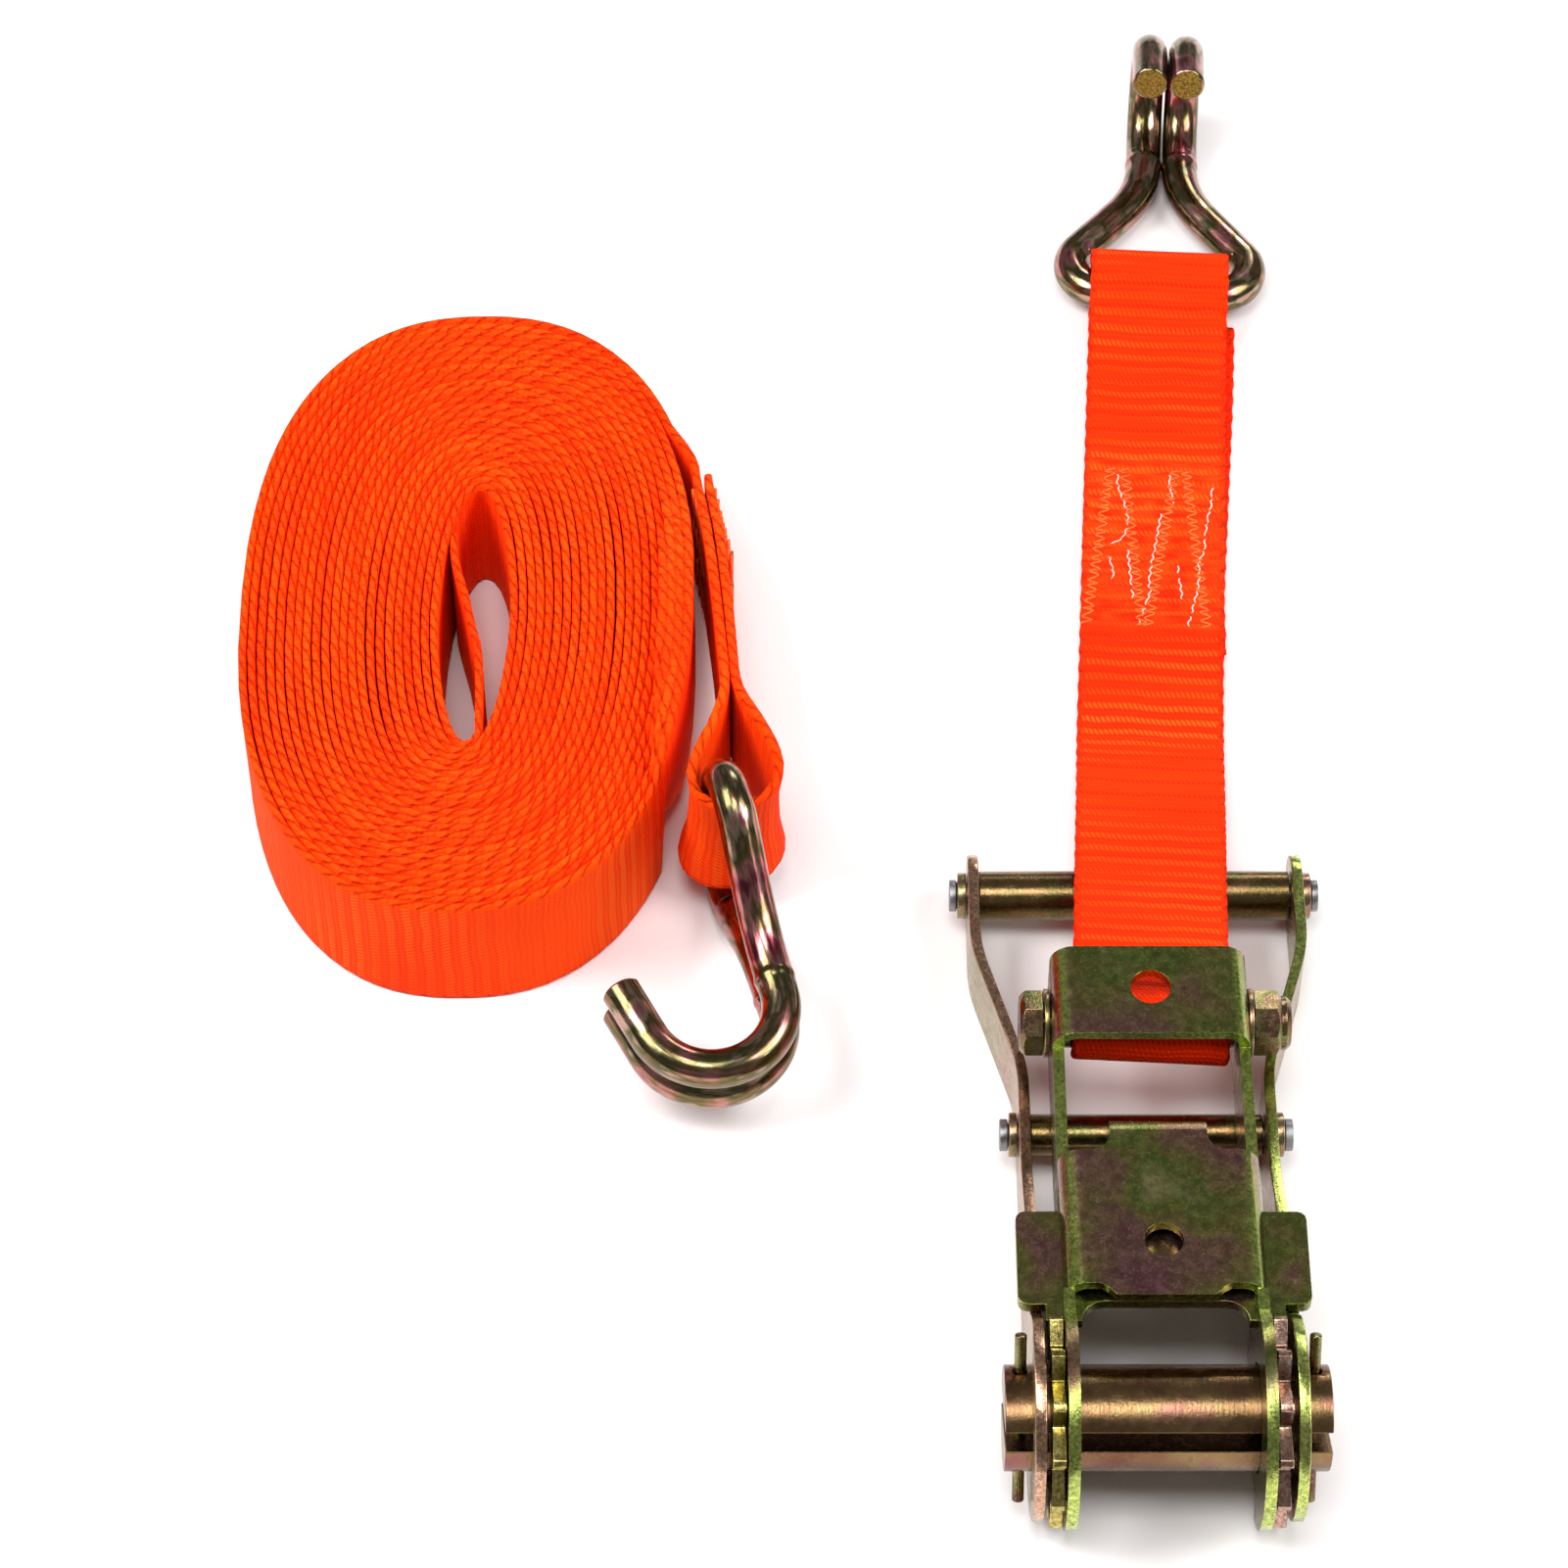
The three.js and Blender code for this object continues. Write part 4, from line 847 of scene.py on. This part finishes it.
# ------------------------------------------------------------------ short strap
BOLT = joint_place("short_strap_swing") / MM
GROUND = -BOLT.z
strap_frame = (Matrix.Translation((BOLT + Vector((STRAP_SHIFT, 0, 0))) * MM)
               @ Matrix.Rotation(STRAP_YAW, 4, "Z"))
PLY = WEB_THICK / MM
LOW_PLY = GROUND + PLY / 2 + 0.15
EYE_Y, EYE_R = 244.5, 6.3
BOLT_EYE_MID_R, HOOK_EYE_MID_R = 7.1, 7.3   # of the middle of the webbing round the bolt and the hook
EYE_PUSH = 2.3                              # the hook pulls its eye out to a longer shape
LOW_PLY_LEAN = 2.2                          # the lower ply's cut end is off to the side
STRAP_SMOOTHING = 10
SELVEDGE_AT = 16.5
GRIP = Vector((0, 50.6, GROUND + 15.55))


def upper_ply():
    """(y, z) of the middle of the top ply, from the bolt to the hook."""
    gy, gz = GRIP.y, GRIP.z + 1.5 * PLY
    top = LOW_PLY + 2 * PLY
    return [(13, -0.4), (20, -2.6), (34, -6.4), (gy, gz + 0.2), (gy + 14, gz - 2.6), (gy + 32, gz - 7.3),
            (gy + 52, top - 0.4), (gy + 72, top + 0.4), (gy + 86, top + 0.1), (150, top), (190, top),
            (215, top - 0.2), (228, top + 0.8)]


def lower_ply():
    """(y, z) of the middle of the lowest ply, from the bolt to its cut end by the hook."""
    gy, gz = GRIP.y, GRIP.z + 0.5 * PLY
    return [(12.5, -4.6), (20, -5.6), (34, -8.6), (gy, gz + 0.1), (gy + 14, gz - 2.8), (gy + 32, gz - 7.6),
            (gy + 52, LOW_PLY + 2.3), (gy + 72, LOW_PLY + 0.25), (gy + 86, LOW_PLY), (150, LOW_PLY),
            (190, LOW_PLY), (215, LOW_PLY), (238.6, LOW_PLY)]


def sewn(y):
    """How strongly the sewing gathers the plies at that place along the strap."""
    return smooth(131, 139, y) * smooth(193, 186, y)


def eye(y, z, radius, start, stop, step, push=None):
    """Points round an eye at (y, z), from one angle to another in degrees."""
    points = []
    for degrees in range(start, stop, step):
        a = math.radians(degrees)
        pushed = y + push * smooth(110, 60, abs(degrees)) if push else y
        points.append(Vector((0, pushed + radius * math.cos(a), z + radius * math.sin(a))))
    return points


def top_relief(x, y):
    """Height of the gathered, uneven upper face of the top ply, in millimetres."""
    bands = math.sin(2 * math.pi * y / 4.05 + 0.9 * noise(Vector((x * 0.10, y * 0.05, 2))))
    lumps = noise(Vector((x * 0.28, y * 0.30, 9)))
    loose = 0.10 * noise(Vector((x * 0.03, y * 0.22, 4))) + 0.14 * noise(Vector((0, y * 0.09, 7)))
    return sewn(y) * (0.32 * bands + 0.55 * lumps) + loose


def short_strap():
    eye_z = GROUND + EYE_R + PLY + 0.2
    low, top = lower_ply(), upper_ply()
    points = [Vector((LOW_PLY_LEAN * smooth(132, 236, y) + 0.2, y, z)) for y, z in reversed(low)]
    points += [p + Vector((0.2, 0, 0)) for p in eye(-1, 0, BOLT_EYE_MID_R, -88, -290, -22)]
    first_top = len(points)
    points += [Vector((0, y, z)) for y, z in top]
    last_top = len(points)
    points += eye(EYE_Y, eye_z, HOOK_EYE_MID_R, 108, -85, -24, EYE_PUSH)
    for y in (238, 230, 222):
        points.append(Vector((0.1, y, lerp(eye_z - 7.2, LOW_PLY + PLY, smooth(243, 226, y)))))
    for y in (205, 180, 160, 145, 136, 129.5):
        points.append(Vector((0.5 * smooth(150, 130, y) + 0.15, y, LOW_PLY + PLY)))
    curve = catmull(points, STRAP_SMOOTHING)
    first, last = first_top * STRAP_SMOOTHING, last_top * STRAP_SMOOTHING
    top_run = curve[first:last]
    fine = resample(curve, 1.0)
    along = lengths(fine)
    start, stop = lengths(curve)[first], lengths(curve)[last]
    ring = [(a / MM, o / MM) for a, o in web_section()]
    rows, zones = [], []
    for i, (p, u) in enumerate(zip(fine, along)):
        ahead = (fine[min(i + 1, len(fine) - 1)] - fine[max(i - 1, 0)]).normalized()
        wide = (SIDEWAYS - ahead * SIDEWAYS.dot(ahead)).normalized()
        face = wide.cross(ahead)
        on_top = smooth(start, start + 6, u) * smooth(stop, stop - 6, u)
        scallop = 0.14 * math.sin(2 * math.pi * u / 5.6 + 2 * noise(Vector((u * 0.02, 1, 1))))
        row = []
        for a, o in ring:
            relief = on_top * top_relief(a, p.y) if o > 0 or abs(a) > SELVEDGE_AT else 0.0
            row.append((p + wide * a * (1 + scallop / HALF_WIDTH) + face * (o + relief)) * MM)
        rows.append(row)
        zones.append(on_top * sewn(p.y))
    strap = webbing_sweep("short_strap_webbing", rows, along, ring, red_web, zones)
    strap.data.transform(strap_frame)
    strap.data.update()
    return strap, along[-1] * MM, top_run


short_piece, short_length, top_run = short_strap()
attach(short_piece, "short_strap_body")
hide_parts("short_strap")
print("short webbing", round(short_length, 3), "m")


def on_top_ply(x, y, lift):
    """A point on the sewn upper face, in the strap's frame."""
    near = min(top_run, key=lambda p: abs(p.y - y))
    return Vector((x, y, near.z + PLY / 2 + top_relief(x, y) + lift))


# Where the pale thread lies on the sewn face: (across, along) in millimetres
PALE_RUNS = [
    [(-9.3, 183), (-8.8, 178.5), (-6.5, 170.3), (-7.4, 163.2), (-10.2, 161.1)],
    [(-10.9, 156.7), (-9.8, 152.3), (-10, 149.2)],
    [(-6.3, 158.8), (-5.5, 150.7), (-4.7, 143.5)],
    [(3.6, 183.7), (4.6, 174.7)],
    [(1.7, 170.7), (0.4, 160.5), (-0.5, 154.1), (-0.9, 147.8), (-0.7, 145.3), (-3.2, 135.9)],
    [(6.0, 154.4), (6.7, 148.8), (7.2, 143.9)],
    [(14.3, 180.4), (14, 174.6), (12.9, 167.5), (12.4, 159.8), (11.2, 156), (11.3, 151), (10.6, 145.3),
     (8.7, 135.3)],
]


# Middle of each orange zigzag row, and how it leans
ORANGE_ROWS = [(-13.5, 0.10), (-5.0, -0.10), (2.0, 0.12), (10.5, -0.11)]
SUNK = 0.02


def pale_stitches():
    """The loose pale thread: short stitches that dip in and out of the webbing."""
    lines = []
    for run in PALE_RUNS:
        path = resample(catmull([Vector((x, y, 0)) for x, y in run], 6), 0.55)
        lines.append([on_top_ply(p.x + 0.25 * math.sin(k * 1.3), p.y, 0.26 * math.sin(k * 0.8) - SUNK)
                      for k, p in enumerate(path)])
    return lines


def orange_stitches():
    """Close zigzag rows that sew the plies together."""
    lines = []
    for x0, lean in ORANGE_ROWS:
        line = []
        for k in range(44):
            y = 135 + k * 1.18
            x = x0 + lean * (y - 160) + (k % 2 * 2 - 1) * 1.25
            line.append(on_top_ply(x, y, -SUNK))
        lines.append(catmull(line, 3))
    return lines


stitches("short_strap_pale_stitches", pale_stitches(), 0.2, pale_thread, "short_strap_body", strap_frame)
stitches("short_strap_orange_stitches", orange_stitches(), 0.27, orange_thread, "short_strap_body",
         strap_frame)


# ------------------------------------------------------------------ pawl springs
SPRING_WIRE, SPRING_RADIUS = 0.5, 3.2
DRIVE_SLOPE = math.radians(-18)
DRIVE_HEIGHT = 12.5                         # of the spring's axis from the drum's, square to the slope
DRIVE_SPRING_ALONG = (46.0, 75.8)


def spring(name, node, body, start, end, turns):
    """A compression spring between two points (millimetres), its end turns wound closer."""
    ahead = (end - start).normalized()
    other = ahead.cross(SIDEWAYS)
    length = (end - start).length
    path = []
    for i in range(turns * 24 + 1):
        t = i / (turns * 24)
        pitch = lerp(t, smooth(0, 1, t), 0.5)
        angle = 2 * math.pi * turns * t
        path.append((start + ahead * lerp(SPRING_WIRE, length - SPRING_WIRE, pitch)
                     + (SIDEWAYS * math.cos(angle) + other * math.sin(angle)) * SPRING_RADIUS) * MM)
    made = tube(name, path, [SPRING_WIRE * MM] * len(path), rivet_metal, sides=12)
    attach(made, body)
    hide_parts(node)
    return made


lock_low, lock_high = (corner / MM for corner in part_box("locking_pawl_spring"))
lock_start = (lock_low + lock_high) / 2
lock_end = lock_start.copy()
lock_start.y, lock_end.y = lock_low.y, lock_high.y
lock_spring = spring("locking_spring_coil", "locking_pawl_spring", "frame_body", lock_start, lock_end, 7)
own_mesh(lock_spring)

drive_ahead = Vector((0, math.cos(DRIVE_SLOPE), math.sin(DRIVE_SLOPE)))
drive_axis = (joint_place("handle_fold") / MM
              + Vector((0, -math.sin(DRIVE_SLOPE), math.cos(DRIVE_SLOPE))) * DRIVE_HEIGHT)
drive_start, drive_end = (drive_axis + drive_ahead * along for along in DRIVE_SPRING_ALONG)
spring("drive_spring_coil", "drive_pawl_spring", "handle_body", drive_start, drive_end, 11)


# ------------------------------------------------------------------ stage and light
FLOOR_HALF = 1.7
FLOOR_Z = -0.0002


def stage():
    mesh = bpy.data.meshes.new("floor")
    corners = [(x * FLOOR_HALF, y * FLOOR_HALF, 0) for x, y in ((-1, -1), (1, -1), (1, 1), (-1, 1))]
    mesh.from_pydata(corners, [], [(0, 1, 2, 3)])
    s = Shader("floor")
    s.set(Base_Color=(0.88, 0.86, 0.86, 1), Roughness=0.9, Specular_IOR_Level=0.0)
    floor = link("floor", mesh, s.material)
    floor.location.z = FLOOR_Z


def area(name, place, size, power):
    """A soft light that faces the middle of the floor."""
    data = bpy.data.lights.new(name, "AREA")
    data.shape = "RECTANGLE"
    data.size, data.size_y = size
    data.energy = power
    lamp = bpy.data.objects.new(name, data)
    bpy.context.scene.collection.objects.link(lamp)
    lamp.location = place
    lamp.rotation_euler = (-Vector(place)).to_track_quat("-Z", "Y").to_euler()


stage()
area("key", (-1.0, -0.1, 1.35), (0.9, 0.9), 27)
area("fill", (1.1, -0.3, 1.15), (0.9, 0.9), 20)
area("top", (-0.1, -0.5, 1.9), (0.7, 0.7), 16)
area("back", (0.5, 1.5, 0.8), (0.5, 0.4), 5)


def backdrop():
    """White to the eye, and dimmer to the plated steel."""
    world = bpy.data.worlds.new("studio")
    world.use_nodes = True
    sky = world.node_tree
    background = sky.nodes["Background"]
    background.inputs["Color"].default_value = (1.0, 0.985, 0.98, 1)
    seen = sky.nodes.new("ShaderNodeLightPath")
    level = sky.nodes.new("ShaderNodeMapRange")
    level.inputs["To Min"].default_value = 0.22
    level.inputs["To Max"].default_value = 1.0
    sky.links.new(seen.outputs["Is Camera Ray"], level.inputs["Value"])
    sky.links.new(level.outputs[0], background.inputs["Strength"])
    bpy.context.scene.world = world


backdrop()
bpy.context.scene.view_settings.view_transform = "Standard"
